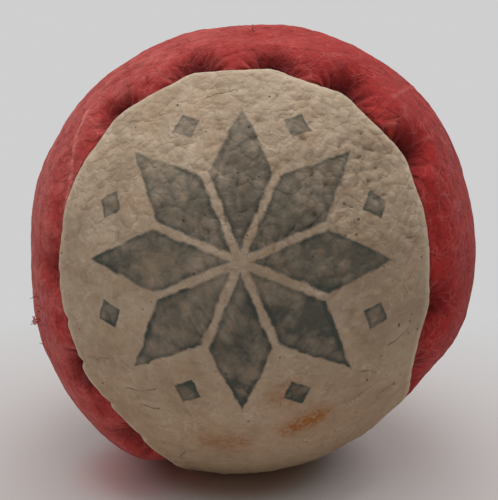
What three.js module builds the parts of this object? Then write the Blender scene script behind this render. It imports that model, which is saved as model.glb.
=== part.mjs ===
// Two-panel leather footbag. Two like figure-eight panels are sewn edge to edge inside out, turned, filled
// with plastic pellets and closed by hand, so that both edges stand inside the ball with the thread.
// Millimetres, +Z up. The origin is the middle of the flat spot that the bag rests on, and -Y is its front.
import * as THREE from "three";
import { mergeVertices } from "three/addons/utils/BufferGeometryUtils.js";

// Ball
const BALL_RADIUS = 26;
const REST_SINK = 0.8; // how far the ball settles flat onto the floor
const CLEARANCE = 0.3; // between pieces that lie against each other
const FACET_ROOM = 0.2; // more between two domes, whose flat facets stand towards each other

// Leather and seam
const LEATHER = 1.2;
const EDGE_GAP = 0.3; // between the two turned-in edges
const FOLD_RADIUS = 0.8; // inside the roll where a panel turns in at the seam
const EDGE_LENGTH = 3.2; // of a turned-in edge below that roll
const SEAM_SWING = 0.35; // share of the seam's triple wave, which draws in the panels' necks
const SEAM_RISE = 0.775; // how far the seam climbs towards the ball's two necks
const SPINE_REACH = 2 / 3; // how far a panel's spine runs from its middle to the tips of its lobes
const BAG_LEAN = 13.3; // degrees that the cream neck is turned back from straight down
const BAG_TILT = -6.4; // degrees that it is turned aside

// Thread
const THREAD_DIAMETER = 0.6;
const STITCH_COUNT = 64;
const CLOSING_HOLES = 7; // sewn last, after the filling went in
const CLOSING_START = 10; // first hole of the closing, at the back of the ball
const STITCH_BEND = 0.5; // how far the thread rounds each corner
const KNOT_LENGTH = 1.2;

// Filling
const PELLET_DIAMETER = 4;
const PELLET_HEIGHT = 3;
const PELLET_TRAVEL = 2; // the loose layer's room to hop
const HEAP_RINGS = 2; // of loose pellets round the middle one

// Where the settled filling swells the leather or leaves it slack
const LEFT_SWELL = 1.2;
const RIGHT_SLACK = 1.3;
const TOP_SWELL = 0.5;
const SWELLS = [
  { x: -0.64, y: -0.13, z: -0.75, height: LEFT_SWELL, spread: 30 },
  { x: 0.64, y: -0.13, z: -0.75, height: -RIGHT_SLACK, spread: 27 },
  { x: 0.71, y: 0.12, z: 0.7, height: TOP_SWELL, spread: 26 },
];

// Facets
const DOME_RINGS = 5;
const THREAD_SIDES = 5;
const PELLET_SIDES = 7;
const PELLET_STEPS = 5;
const SEAM_SAMPLES = 1600;
const WELD = 1e-4;

// Worked out from the sizes above
const CENTRE_HEIGHT = BALL_RADIUS - REST_SINK;
const EDGE_FACE = EDGE_GAP / 2;
const ROLL_RADIUS = LEATHER + FOLD_RADIUS;
const EDGE_DEPTH = ROLL_RADIUS + EDGE_LENGTH;
const THREAD_RADIUS = THREAD_DIAMETER / 2;
const THREAD_OFFSET = EDGE_FACE + LEATHER + CLEARANCE + THREAD_RADIUS;
const STITCH_DEPTH = ROLL_RADIUS + EDGE_LENGTH / 2;
const HOLE_REACH = THREAD_RADIUS + CLEARANCE;
const FILL_DEPTH = LEATHER + CLEARANCE + FACET_ROOM;
const VALLEY_OFFSET = THREAD_OFFSET + THREAD_RADIUS + CLEARANCE;
const VALLEY_DEPTH = EDGE_DEPTH + CLEARANCE;

// The loose layer keeps inside the turned-in edges at the top of its hop
const PELLET_PITCH = PELLET_DIAMETER + CLEARANCE;
const HEAP_RADIUS = HEAP_RINGS * PELLET_PITCH + PELLET_DIAMETER / 2;
const HEAP_TOP = Math.sqrt((BALL_RADIUS - VALLEY_DEPTH) ** 2 - HEAP_RADIUS ** 2);
const FILL_LEVEL = HEAP_TOP - PELLET_TRAVEL - PELLET_HEIGHT - CLEARANCE;

// The seam as a closed curve on a ball of radius 1. The cream neck is at -Z with its lobes along Y, and the
// red neck at +Z with its lobes along X.
class Seam extends THREE.Curve {
  getPoint(t, target = new THREE.Vector3()) {
    const turn = 2 * Math.PI * t;
    const wide = 1 - SEAM_SWING;
    const rise = SEAM_RISE * 2 * Math.sqrt(wide * SEAM_SWING);
    return target
      .set(
        wide * Math.cos(turn) - SEAM_SWING * Math.cos(3 * turn),
        wide * Math.sin(turn) + SEAM_SWING * Math.sin(3 * turn),
        -rise * Math.cos(2 * turn),
      )
      .normalize();
  }
}

const seam = new Seam();
seam.arcLengthDivisions = SEAM_SAMPLES;
const seamLength = seam.getLength();
const bagTurn = new THREE.Euler(THREE.MathUtils.degToRad(BAG_LEAN), THREE.MathUtils.degToRad(BAG_TILT), 0);

// A distance along the seam at a depth under the leather, as a share of the whole seam.
function seamShare(distance, depth) {
  return distance / (seamLength * (BALL_RADIUS - depth));
}

// The leather's outer radius in a direction, before the floor flattens it.
function swollenRadius(direction) {
  return SWELLS.reduce((radius, { x, y, z, height, spread }) => {
    const away = direction.angleTo(new THREE.Vector3(x, y, z)) / THREE.MathUtils.degToRad(spread);
    return radius + height * Math.exp(-away * away);
  }, BALL_RADIUS);
}

// The point at a depth under the outer face, in a direction of the panels' own pattern.
function pointUnder(pattern, depth) {
  const direction = pattern.clone().applyEuler(bagTurn);
  const floor = direction.z < 0 ? (CENTRE_HEIGHT - depth) / -direction.z : Infinity;
  const radius = Math.min(swollenRadius(direction) - depth, floor);
  return direction.multiplyScalar(radius).add(new THREE.Vector3(0, 0, CENTRE_HEIGHT));
}

// The direction beside the seam, offset square to it. Positive offsets are on the cream side.
function besideSeam(share, offset, depth) {
  const at = share - Math.floor(share);
  const onSeam = seam.getPointAt(at);
  const aside = seam.getTangentAt(at).cross(onSeam).normalize();
  const angle = offset / (BALL_RADIUS - depth);
  return onSeam.multiplyScalar(Math.cos(angle)).addScaledVector(aside, Math.sin(angle));
}

// The red panel is the cream one turned half over, so its directions trade places.
function traded(direction, side) {
  return side > 0 ? direction : new THREE.Vector3(direction.y, direction.x, -direction.z);
}

// A direction on a panel's dome, part of the way from its rolled edge to the spine between its lobes.
function onDome(edge, side, part) {
  const own = traded(edge, side);
  const along = Math.atan2(own.y, -own.z) * THREE.MathUtils.lerp(1, SPINE_REACH, part);
  const across = Math.asin(own.x) * (1 - part);
  const direction = new THREE.Vector3(
    Math.sin(across),
    Math.cos(across) * Math.sin(along),
    -Math.cos(across) * Math.cos(along),
  );
  return traded(direction, side);
}

// A closed solid from quads and triangles, welded where corners meet, with its faces pointing out.
function solid(points, faces) {
  const triangles = faces.flatMap(([a, b, c, d]) => (d === undefined ? [a, b, c] : [a, b, c, a, c, d]));
  const loose = new THREE.BufferGeometry().setFromPoints(points);
  loose.setIndex(triangles);
  const geometry = mergeVertices(loose, WELD);
  const index = geometry.index.array;
  const at = (corner) => new THREE.Vector3().fromBufferAttribute(geometry.attributes.position, corner);
  const kept = [];
  let volume = 0;
  for (let i = 0; i < index.length; i += 3) {
    const [a, b, c] = index.slice(i, i + 3);
    if (a !== b && b !== c && c !== a) {
      kept.push([a, b, c]);
      volume += at(a).dot(at(b).cross(at(c)));
    }
  }
  geometry.setIndex(kept.flatMap(([a, b, c]) => (volume > 0 ? [a, b, c] : [a, c, b])));
  geometry.computeVertexNormals();
  return geometry;
}

// Faces between one ring of corners and the next, which has as many corners, half as many or twice as many.
function between(rings, skip = () => false) {
  const faces = [];
  let first = 0;
  for (let ring = 0; ring < rings.length - 1; ring += 1) {
    const count = rings[ring].length;
    const next = rings[ring + 1].length;
    const upper = (i) => first + (i % count);
    const lower = (i) => first + count + (i % next);
    for (let i = 0; i < Math.min(count, next); i += 1) {
      if (next < count) {
        faces.push([upper(2 * i), upper(2 * i + 1), lower(i)]);
        faces.push([upper(2 * i + 1), upper(2 * i + 2), lower(i + 1), lower(i)]);
      } else if (next > count) {
        faces.push([upper(i), lower(2 * i + 1), lower(2 * i)]);
        faces.push([upper(i), upper(i + 1), lower(2 * i + 2), lower(2 * i + 1)]);
      } else if (!skip(ring, i)) {
        faces.push([upper(i), upper(i + 1), lower(i + 1), lower(i)]);
      }
    }
    first += count;
  }
  return faces;
}

// The middles of the stitch holes, as shares of the seam.
function stitches() {
  return Array.from({ length: STITCH_COUNT }, (_, stitch) => (stitch + 0.5) / STITCH_COUNT);
}

// A panel's rings run from the spine down its outer face into the turned-in edge and back along its inner
// face. Every other column of the edge is open between the two stitch rings, which makes the awl holes.
function panelGeometry(side) {
  const half = seamShare(HOLE_REACH, STITCH_DEPTH);
  const columns = stitches().flatMap((middle) => [middle - half, middle + half]);
  const beside = (offset, depth) =>
    columns.map((share) => pointUnder(besideSeam(share, side * offset, depth), depth));
  const domes = (depth) =>
    Array.from({ length: DOME_RINGS }, (_, step) =>
      stitches().map((share) => {
        const edge = besideSeam(share, side * (EDGE_FACE + ROLL_RADIUS), 0);
        return pointUnder(onDome(edge, side, (step + 1) / DOME_RINGS), depth);
      }),
    );
  const face = (offset) => [
    beside(offset, ROLL_RADIUS),
    beside(offset, STITCH_DEPTH - HOLE_REACH),
    beside(offset, STITCH_DEPTH + HOLE_REACH),
    beside(offset, EDGE_DEPTH),
  ];
  const halfway = ROLL_RADIUS * (1 - Math.SQRT1_2);
  const outer = [
    ...domes(0).reverse(),
    beside(EDGE_FACE + ROLL_RADIUS, 0),
    beside(EDGE_FACE + halfway, halfway),
    ...face(EDGE_FACE),
  ];
  const inner = [
    ...face(EDGE_FACE + LEATHER).reverse(),
    beside(EDGE_FACE + ROLL_RADIUS, LEATHER),
    ...domes(LEATHER),
  ];
  const rings = [...outer, ...inner];
  const outerHoles = outer.length - 3;
  const innerHoles = outer.length + 1;
  const isHole = (ring, i) => i % 2 === 0 && (ring === outerHoles || ring === innerHoles);
  const faces = between(rings, isHole);
  const before = (ring) => rings.slice(0, ring).reduce((total, corners) => total + corners.length, 0);
  for (let i = 0; i < columns.length; i += 2) {
    const mouth = (ring) => [before(ring) + i, before(ring) + i + 1];
    const [a, b] = mouth(outerHoles);
    const [d, c] = mouth(outerHoles + 1);
    const [h, g] = mouth(innerHoles);
    const [e, f] = mouth(innerHoles + 1);
    faces.push([a, b, f, e], [b, c, g, f], [c, d, h, g], [d, a, e, h]);
  }
  return solid(rings.flat(), faces);
}

// The settled bulk of the pellets: level on top, and hollowed along the seam for the edges and the thread.
function fillGeometry() {
  const settled = (direction, depth) => {
    const point = pointUnder(direction, depth);
    const rise = point.z - CENTRE_HEIGHT;
    const shrink = rise > FILL_LEVEL ? FILL_LEVEL / rise : 1;
    return point.set(point.x * shrink, point.y * shrink, CENTRE_HEIGHT + rise * shrink);
  };
  const beside = (offset, depth) =>
    stitches().map((share) => settled(besideSeam(share, offset, depth), depth));
  const half = (side) => [
    beside(side * VALLEY_OFFSET, VALLEY_DEPTH),
    ...Array.from({ length: DOME_RINGS + 1 }, (_, step) =>
      stitches().map((share) => {
        const edge = besideSeam(share, side * VALLEY_OFFSET, FILL_DEPTH);
        return settled(onDome(edge, side, step / DOME_RINGS), FILL_DEPTH);
      }),
    ),
  ];
  const rings = [...half(1).reverse(), beside(0, VALLEY_DEPTH), ...half(-1)];
  return solid(rings.flat(), between(rings));
}

// A run of the thread that weaves through a number of holes, with a knot past its first and last.
function threadRoute(firstHole, holes, firstSide) {
  const run = (share, offset) => pointUnder(besideSeam(share, offset, STITCH_DEPTH), STITCH_DEPTH);
  const bend = seamShare(STITCH_BEND, STITCH_DEPTH);
  const knot = seamShare(KNOT_LENGTH, STITCH_DEPTH);
  const through = THREAD_OFFSET - STITCH_BEND;
  const hole = (number) => (firstHole + number + 0.5) / STITCH_COUNT;
  const route = [];
  let side = firstSide;
  const start = hole(0) - bend;
  [knot, (2 * knot) / 3, knot / 3].forEach((back) => route.push(run(start - back, side * THREAD_OFFSET)));
  for (let number = 0; number < holes; number += 1) {
    const share = hole(number);
    route.push(run(share - bend, side * THREAD_OFFSET), run(share, side * through));
    side = -side;
    route.push(run(share, side * through), run(share + bend, side * THREAD_OFFSET));
    if (number < holes - 1) {
      route.push(run(share + 0.5 / STITCH_COUNT, side * THREAD_OFFSET));
    }
  }
  const end = hole(holes - 1) + bend;
  [knot / 3, (2 * knot) / 3, knot].forEach((on) => route.push(run(end + on, side * THREAD_OFFSET)));
  return route;
}

// A round thread along a route, fatter over the two rings that make the knot at each end.
function threadGeometry(firstHole, holes, firstSide) {
  const route = threadRoute(firstHole, holes, firstSide);
  const last = route.length - 1;
  const knotRadius = THREAD_RADIUS + CLEARANCE / 2;
  const isKnot = (i) => i === 1 || i === 2 || i === last - 1 || i === last - 2;
  const normal = new THREE.Vector3();
  const rings = route.map((point, i) => {
    const along = route[Math.min(i + 1, last)].clone().sub(route[Math.max(i - 1, 0)]).normalize();
    if (i === 0) {
      normal.set(along.y, -along.x, 0);
    }
    normal.addScaledVector(along, -normal.dot(along)).normalize();
    const across = along.clone().cross(normal);
    const radius = isKnot(i) ? knotRadius : THREAD_RADIUS;
    return Array.from({ length: THREAD_SIDES }, (_, corner) => {
      const turn = (2 * Math.PI * corner) / THREAD_SIDES;
      const aside = normal.clone().multiplyScalar(radius * Math.cos(turn));
      return aside.addScaledVector(across, radius * Math.sin(turn)).add(point);
    });
  });
  const faces = between(rings);
  for (let corner = 1; corner < THREAD_SIDES - 1; corner += 1) {
    const tail = last * THREAD_SIDES;
    faces.push([0, corner + 1, corner], [tail, tail + corner, tail + corner + 1]);
  }
  return solid(rings.flat(), faces);
}

// One lens-shaped pellet, lying flat.
function pelletGeometry() {
  const profile = Array.from({ length: PELLET_STEPS + 1 }, (_, step) => {
    const rise = Math.PI * (step / PELLET_STEPS - 0.5);
    const isEnd = step === 0 || step === PELLET_STEPS;
    const radius = isEnd ? 0 : (PELLET_DIAMETER / 2) * Math.cos(rise);
    return new THREE.Vector2(radius, (PELLET_HEIGHT / 2) * Math.sin(rise));
  });
  const lens = new THREE.LatheGeometry(profile, PELLET_SIDES);
  lens.deleteAttribute("normal");
  lens.deleteAttribute("uv");
  lens.rotateX(Math.PI / 2);
  const welded = mergeVertices(lens, WELD);
  const corners = welded.attributes.position;
  const corner = (i) => new THREE.Vector3().fromBufferAttribute(corners, i);
  const points = Array.from({ length: corners.count }, (_, i) => corner(i));
  const index = welded.index.array;
  const faces = Array.from({ length: index.length / 3 }, (_, i) => [...index.slice(3 * i, 3 * i + 3)]);
  return solid(points, faces);
}

// Places of the loose pellets, in rows half a pellet aside of each other that make rings round the middle.
function heapPlaces() {
  const places = [];
  for (let row = -HEAP_RINGS; row <= HEAP_RINGS; row += 1) {
    const length = 2 * HEAP_RINGS + 1 - Math.abs(row);
    const y = row * PELLET_PITCH * Math.sin(Math.PI / 3);
    for (let i = 0; i < length; i += 1) {
      places.push([(i - (length - 1) / 2) * PELLET_PITCH, y]);
    }
  }
  return places;
}

const creamLeather = new THREE.MeshStandardMaterial({ color: 0xb8a48c, roughness: 0.75, metalness: 0 });
const redLeather = new THREE.MeshStandardMaterial({ color: 0xa5312f, roughness: 0.9, metalness: 0 });
const waxedThread = new THREE.MeshStandardMaterial({ color: 0xcfc4ac, roughness: 0.6, metalness: 0 });
const pelletPlastic = new THREE.MeshStandardMaterial({ color: 0xd9d8d2, roughness: 0.4, metalness: 0 });

const footbag = new THREE.Group();

function place(name, geometry, material) {
  const mesh = new THREE.Mesh(geometry, material);
  mesh.name = name;
  footbag.add(mesh);
  return mesh;
}

place("cream_panel", panelGeometry(1), creamLeather);
place("red_panel", panelGeometry(-1), redLeather);
place("closing_thread", threadGeometry(CLOSING_START, CLOSING_HOLES, 1), waxedThread);
place(
  "seam_thread",
  threadGeometry(CLOSING_START + CLOSING_HOLES, STITCH_COUNT - CLOSING_HOLES, CLOSING_HOLES % 2 ? 1 : -1),
  waxedThread,
);
place("pellet_fill", fillGeometry(), pelletPlastic);

const pellet = pelletGeometry();
const pelletHeight = CENTRE_HEIGHT + FILL_LEVEL + CLEARANCE + PELLET_HEIGHT / 2;
heapPlaces().forEach(([x, y], i) => {
  const loose = place(`pellet_${String(i + 1).padStart(2, "0")}`, pellet, pelletPlastic);
  loose.position.set(x, y, pelletHeight);
});

export default footbag;
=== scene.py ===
"""Looks of a two-panel leather footbag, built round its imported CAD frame.

Two figure-eight leather panels, one cream and one red, are sewn edge to edge inside out, turned, and filled
with plastic pellets. Sizes are in millimetres until a mesh is made, and every mesh is in metres.
"""

import logging
import math
from abc import ABC, abstractmethod
from collections.abc import Iterator
from dataclasses import dataclass
from enum import Enum, IntEnum
from functools import cached_property
from typing import ClassVar, NamedTuple

import bmesh
import bpy
import numpy as np
from mathutils import Matrix, Vector
from mathutils.bvhtree import BVHTree
from mathutils.kdtree import KDTree


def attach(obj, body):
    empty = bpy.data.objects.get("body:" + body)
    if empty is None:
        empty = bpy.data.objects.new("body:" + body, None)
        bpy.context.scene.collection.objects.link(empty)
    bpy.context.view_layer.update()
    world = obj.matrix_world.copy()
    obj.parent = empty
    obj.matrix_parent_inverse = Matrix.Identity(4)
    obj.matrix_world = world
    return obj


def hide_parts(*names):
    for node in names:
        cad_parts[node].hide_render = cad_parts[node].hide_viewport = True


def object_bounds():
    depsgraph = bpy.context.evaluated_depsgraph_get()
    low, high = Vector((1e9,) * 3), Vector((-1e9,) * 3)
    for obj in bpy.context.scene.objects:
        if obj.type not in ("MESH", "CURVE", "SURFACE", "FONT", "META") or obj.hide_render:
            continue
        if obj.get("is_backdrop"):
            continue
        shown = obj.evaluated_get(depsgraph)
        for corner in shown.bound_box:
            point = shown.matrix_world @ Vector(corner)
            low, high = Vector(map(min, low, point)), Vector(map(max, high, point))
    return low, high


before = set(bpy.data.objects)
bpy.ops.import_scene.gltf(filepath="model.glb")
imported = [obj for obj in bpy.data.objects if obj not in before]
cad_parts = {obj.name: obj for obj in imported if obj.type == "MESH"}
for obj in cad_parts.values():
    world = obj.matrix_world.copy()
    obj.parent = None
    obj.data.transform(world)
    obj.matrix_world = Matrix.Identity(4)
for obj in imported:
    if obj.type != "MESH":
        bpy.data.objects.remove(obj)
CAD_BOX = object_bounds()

LOG = logging.getLogger("footbag")
MM = 0.001
BAG = "bag"
Pixel = tuple[float, float]
Colour = tuple[float, float, float, float]
Socket = bpy.types.NodeSocket
Tree = bpy.types.NodeTree
RAMP_SOCKETS = ("Value", "From Min", "From Max", "To Min", "To Max")


class Side(Enum):
    """The two panels, by the sign of their offsets from the seam."""

    CREAM = 1
    RED = -1


class Mark(Enum):
    """Measures that a panel's mesh carries at each point for its material."""

    GAP = "seam_gap"
    VALLEY = "pucker_valley"
    GRAIN = "grain_relief"
    ACROSS_LINE = "across_line"
    ALONG_LINE = "along_line"
    PIT = "pit"
    STAIN = "stain"
    PRINT = "print_room"
    PRINT_RIGHT = "print_right"
    PRINT_UP = "print_up"
    FAN_TURN = "gather_turn"
    FAN_REACH = "gather_reach"


class Seed(IntEnum):
    """Which fixed pattern of random numbers each use takes."""

    CREAM_LUMPS = 3
    RED_LUMPS = 4
    WORN_GRAIN = 5
    BOWL_RIM = 6
    CREAM_PATCHES = 8
    PEBBLES = 11
    CREAM_CREASES = 12
    RED_PATCHES = 14
    RED_CREASES = 15
    PEBBLE_WARP = 20
    LINE_WANDER = 40


class Ramp(NamedTuple):
    """How a measure turns into a share: where it starts and ends, and the share at each."""

    measure: Socket
    start: float
    end: float
    low: float = 0.0
    high: float = 1.0


def linear(code: str) -> Colour:
    """Turns an sRGB hex colour into Blender's linear one.

    Args:
        code: Six hex digits after a hash sign.

    Returns:
        Red, green, blue and an alpha of 1.
    """
    shares = [int(code[i : i + 2], 16) / 255 for i in (1, 3, 5)]
    red, green, blue = (s / 12.92 if s <= 0.04045 else ((s + 0.055) / 1.055) ** 2.4 for s in shares)
    return red, green, blue, 1.0


def add_node(
    tree: Tree,
    kind: str,
    inputs: dict[int | str, object] | None = None,
    output: int | str = 0,
    **settings: object,
) -> Socket | None:
    """Adds a shader node with its settings and links.

    Args:
        tree: The material's or world's node tree.
        kind: Blender's name of the node type, without its ShaderNode prefix.
        inputs: Socket names or numbers, each with the output to link there or the value to set.
        output: The socket to give back.
        **settings: The node's own properties.

    Returns:
        The wanted output of the new node, if it has any.
    """
    node = tree.nodes.new("ShaderNode" + kind)
    for name, value in settings.items():
        setattr(node, name, value)
    for socket, value in (inputs or {}).items():
        if isinstance(value, Socket):
            tree.links.new(value, node.inputs[socket])
        else:
            node.inputs[socket].default_value = value
    return node.outputs[output] if node.outputs else None


def smooth_bell(distance: np.ndarray, width: float | np.ndarray) -> np.ndarray:
    """Gives 1 at no distance, falling smoothly to 0 over a few widths."""
    return np.exp(-((distance / width) ** 2))


def unit(vectors: np.ndarray) -> np.ndarray:
    """Gives vectors of length 1 along the last axis."""
    return vectors / np.linalg.norm(vectors, axis=-1, keepdims=True)


def link_mesh(name: str, points: np.ndarray, faces: list[list[int]]) -> bpy.types.Object:
    """Makes a mesh object from points in millimetres.

    Args:
        name: The object's and the mesh's name.
        points: One row per point.
        faces: Point numbers round each face.

    Returns:
        The new object, linked to the scene.
    """
    mesh = bpy.data.meshes.new(name)
    mesh.from_pydata((points * MM).tolist(), [], faces)
    mesh.validate()
    piece = bpy.data.objects.new(name, mesh)
    bpy.context.scene.collection.objects.link(piece)
    return piece


@dataclass(frozen=True)
class GradientNoise:
    """Smooth seeded noise over points in space.

    Args:
        seed: Picks one fixed pattern.
        gain: Brings one layer to between about -1 and 1.
        layer_step: Sets the layers apart in the pattern.
    """

    seed: int
    gain: float = 1.6
    layer_step: float = 31.7

    @cached_property
    def _tables(self) -> tuple[np.ndarray, np.ndarray]:
        """A shuffled table of cell numbers and a slope for each."""
        random = np.random.default_rng(self.seed)
        return random.permutation(256), unit(random.normal(size=(256, 3)))

    def _octave(self, points: np.ndarray) -> np.ndarray:
        """Gives one layer of noise with cells of size 1.

        Args:
            points: Places, one per row.

        Returns:
            One value per point, between about -1 and 1.
        """
        order, slopes = self._tables
        cell = np.floor(points).astype(int)
        inside = points - cell
        fade = inside**3 * (inside * (inside * 6 - 15) + 10)
        total = np.zeros(len(points))
        for corner in np.ndindex(2, 2, 2):
            x, y, z = (cell + corner).T & 255
            slope = slopes[order[(order[(order[x] + y) & 255] + z) & 255]]
            weight = np.prod(np.where(corner, fade, 1 - fade), axis=1)
            total += weight * np.einsum("ij,ij->i", slope, inside - corner)
        return self.gain * total

    def sample(self, points: np.ndarray, size: float, octaves: int = 1) -> np.ndarray:
        """Gives noise between about -1 and 1.

        Args:
            points: Places in millimetres, one per row.
            size: Width of the largest lumps, in millimetres.
            octaves: Layers, each half as wide and half as strong as the one before.

        Returns:
            One value per point.
        """
        total = np.zeros(len(points))
        for layer in range(octaves):
            total += self._octave(points * 2**layer / size + self.layer_step * layer) / 2**layer
        return total

    def winding(self, points: np.ndarray, size: float, width: float) -> np.ndarray:
        """Gives winding lines, as creases run in soft leather.

        Args:
            points: Places in millimetres, one per row.
            size: Width of the patches between the lines.
            width: Half the lines' own width, as a share of the noise's height.

        Returns:
            1 along the lines and 0 away from them, one value per point.
        """
        return smooth_bell(self.sample(points, size, 2), width)


class Lumps(NamedTuple):
    """Soft lumps in the leather: their pattern, height and size in millimetres, and layers of noise."""

    seed: Seed
    height: float
    size: float
    layers: int

    def at(self, places: np.ndarray) -> np.ndarray:
        """Heights in millimetres at places on the skin."""
        return self.height * GradientNoise(self.seed).sample(places, self.size, self.layers)


class Crumple(NamedTuple):
    """Soft winding creases in patches of the leather.

    Patches and creases each have a pattern and a size in millimetres. The contrast sets how sharply the
    patches end, and the width is half that of a crease, as a share of the noise's height.
    """

    patches: Seed
    patch: float
    contrast: float
    creases: Seed
    size: float
    width: float

    def at(self, places: np.ndarray) -> np.ndarray:
        """Gives the creases at places on the skin.

        Args:
            places: Points of the skin.

        Returns:
            1 along the creases and 0 away from them.
        """
        room = 0.5 + self.contrast * GradientNoise(self.patches).sample(places, self.patch)
        return np.clip(room, 0, 1) * GradientNoise(self.creases).winding(places, self.size, self.width)


class Swell(NamedTuple):
    """A place where the settled filling swells the leather, or leaves it slack."""

    towards: tuple[float, float, float]
    height: float
    spread: float


class Dent(NamedTuple):
    """A place in the picture where something stands out, or in, over a reach in millimetres."""

    x: float
    y: float
    amount: float
    reach: float


@dataclass(frozen=True)
class BagForm:
    """The bag's form: a ball that rests flat on the floor, with its seam drawn on it.

    Directions are unit vectors in the panels' own pattern, where the cream neck is at -Z, until turned()
    lays the pattern the way that the bag lies on the floor. Sizes are in millimetres, and the lean, the
    tilt and each swell's spread are in degrees.
    """

    radius: float = 26.0
    rest_sink: float = 0.8
    seam_swing: float = 0.35
    seam_rise: float = 0.775
    spine_reach: float = 2 / 3
    lean: float = 13.3
    tilt: float = -6.4
    seam_samples: int = 4096
    swells: tuple[Swell, ...] = (
        Swell((-0.64, -0.13, -0.75), 1.2, 30),
        Swell((0.64, -0.13, -0.75), -1.3, 27),
        Swell((0.71, 0.12, 0.7), 0.5, 26),
    )

    @property
    def centre_height(self) -> float:
        """Height of the ball's middle over the floor."""
        return self.radius - self.rest_sink

    @cached_property
    def _turn(self) -> np.ndarray:
        """Turns the lean and the tilt into one matrix.

        Returns:
            The matrix that lays the pattern as the bag lies.
        """
        lean, tilt = math.radians(self.lean), math.radians(self.tilt)
        back = np.array(Matrix.Rotation(lean, 3, "X"))
        aside = np.array(Matrix.Rotation(tilt, 3, "Y"))
        return back @ aside

    def _seam_curve(self, angle: np.ndarray) -> np.ndarray:
        """Gives the seam on a ball of radius 1.

        Args:
            angle: The curve's own angle, in radians.

        Returns:
            Unit vectors, one per row.
        """
        wide, swing = 1 - self.seam_swing, self.seam_swing
        rise = self.seam_rise * 2 * math.sqrt(wide * swing)
        x = wide * np.cos(angle) - swing * np.cos(3 * angle)
        y = wide * np.sin(angle) + swing * np.sin(3 * angle)
        return unit(np.stack([x, y, -rise * np.cos(2 * angle)], axis=-1))

    @cached_property
    def _seam_table(self) -> tuple[np.ndarray, np.ndarray]:
        """Measures the seam on a ball of radius 1.

        Returns:
            Curve angles, and the seam's length up to each.
        """
        angles = np.linspace(0, 2 * math.pi, 8 * self.seam_samples + 1)
        steps = np.linalg.norm(np.diff(self._seam_curve(angles), axis=0), axis=1)
        return angles, np.concatenate([[0], np.cumsum(steps)])

    @property
    def seam_length(self) -> float:
        """The whole seam's length on the outer face."""
        return self._seam_table[1][-1] * self.radius

    def seam_points(self, shares: np.ndarray) -> np.ndarray:
        """Directions of places on the seam, given as shares of its length."""
        angles, lengths = self._seam_table
        return self._seam_curve(np.interp(np.mod(shares, 1) * lengths[-1], lengths, angles))

    def seam_asides(self, shares: np.ndarray) -> np.ndarray:
        """Gives directions across the seam.

        Args:
            shares: Places on the seam, as shares of its length.

        Returns:
            Unit vectors square to the seam that lie on the ball and point to the cream panel.
        """
        step = 0.25 / self.seam_samples
        along = self.seam_points(shares + step) - self.seam_points(shares - step)
        return unit(np.cross(along, self.seam_points(shares)))

    def beside_seam(self, shares: np.ndarray, offset: float, depth: float) -> np.ndarray:
        """Gives directions beside the seam.

        Args:
            shares: Places on the seam, as shares of its length.
            offset: Distance from the seam, positive on the cream side.
            depth: Depth in the ball at which that distance is meant.

        Returns:
            Unit vectors, one per row.
        """
        angle = offset / (self.radius - depth)
        return self.seam_points(shares) * math.cos(angle) + self.seam_asides(shares) * math.sin(angle)

    @staticmethod
    def traded(directions: np.ndarray, side: Side) -> np.ndarray:
        """Swaps the cream panel's directions with the red one's, which has the same cut."""
        return directions if side is Side.CREAM else directions[..., [1, 0, 2]] * np.array([1, 1, -1])

    def on_dome(self, edge: np.ndarray, side: Side, part: float) -> np.ndarray:
        """Gives directions part of the way from a panel's rolled edge to the spine between its lobes.

        Args:
            edge: Directions along the rolled edge.
            side: The panel.
            part: 0 at the edge to 1 on the spine.

        Returns:
            Unit vectors, one per row.
        """
        own = self.traded(edge, side)
        along = np.arctan2(own[:, 1], -own[:, 2]) * (1 + (self.spine_reach - 1) * part)
        across = np.arcsin(own[:, 0]) * (1 - part)
        dome = [np.sin(across), np.cos(across) * np.sin(along), -np.cos(across) * np.cos(along)]
        return self.traded(np.stack(dome, axis=-1), side)

    def from_seam(self, directions: np.ndarray) -> tuple[np.ndarray, np.ndarray]:
        """Finds the nearest place on the seam.

        Args:
            directions: Unit vectors in the pattern, one per row.

        Returns:
            The distance in millimetres on the outer face, and the nearest place as a share of the seam.
        """
        shares = (np.arange(self.seam_samples) + 0.5) / self.seam_samples
        seam = self.seam_points(shares).T
        blocks = np.array_split(directions, max(1, len(directions) // 2048))
        nearest = np.concatenate([(block @ seam).argmax(axis=1) for block in blocks])
        cosines = np.einsum("ij,ji->i", directions, seam[:, nearest])
        return self.radius * np.arccos(np.clip(cosines, -1, 1)), shares[nearest]

    def turned(self, directions: np.ndarray) -> np.ndarray:
        """Lays directions of the pattern as the bag lies on the floor."""
        return directions @ self._turn.T

    def unturned(self, directions: np.ndarray) -> np.ndarray:
        """Takes directions about the lying bag back to the pattern."""
        return directions @ self._turn

    def points(self, directions: np.ndarray, height: np.ndarray) -> np.ndarray:
        """Gives places at a height over the plain outer face, flattened where the floor is.

        Args:
            directions: Unit vectors in the pattern, one per row.
            height: Millimetres over the outer face, negative inside it.

        Returns:
            Places in the frame, in millimetres.
        """
        lying = self.turned(directions)
        reach = self.radius + height
        for swell in self.swells:
            away = np.arccos(np.clip(lying @ unit(np.array(swell.towards)), -1, 1))
            reach = reach + swell.height * smooth_bell(away, math.radians(swell.spread))
        down = np.maximum(-lying[:, 2], 1e-6)
        floor = (self.centre_height + np.minimum(height, 0)) / down
        return lying * np.minimum(reach, floor)[:, None] + np.array([0, 0, self.centre_height])


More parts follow.
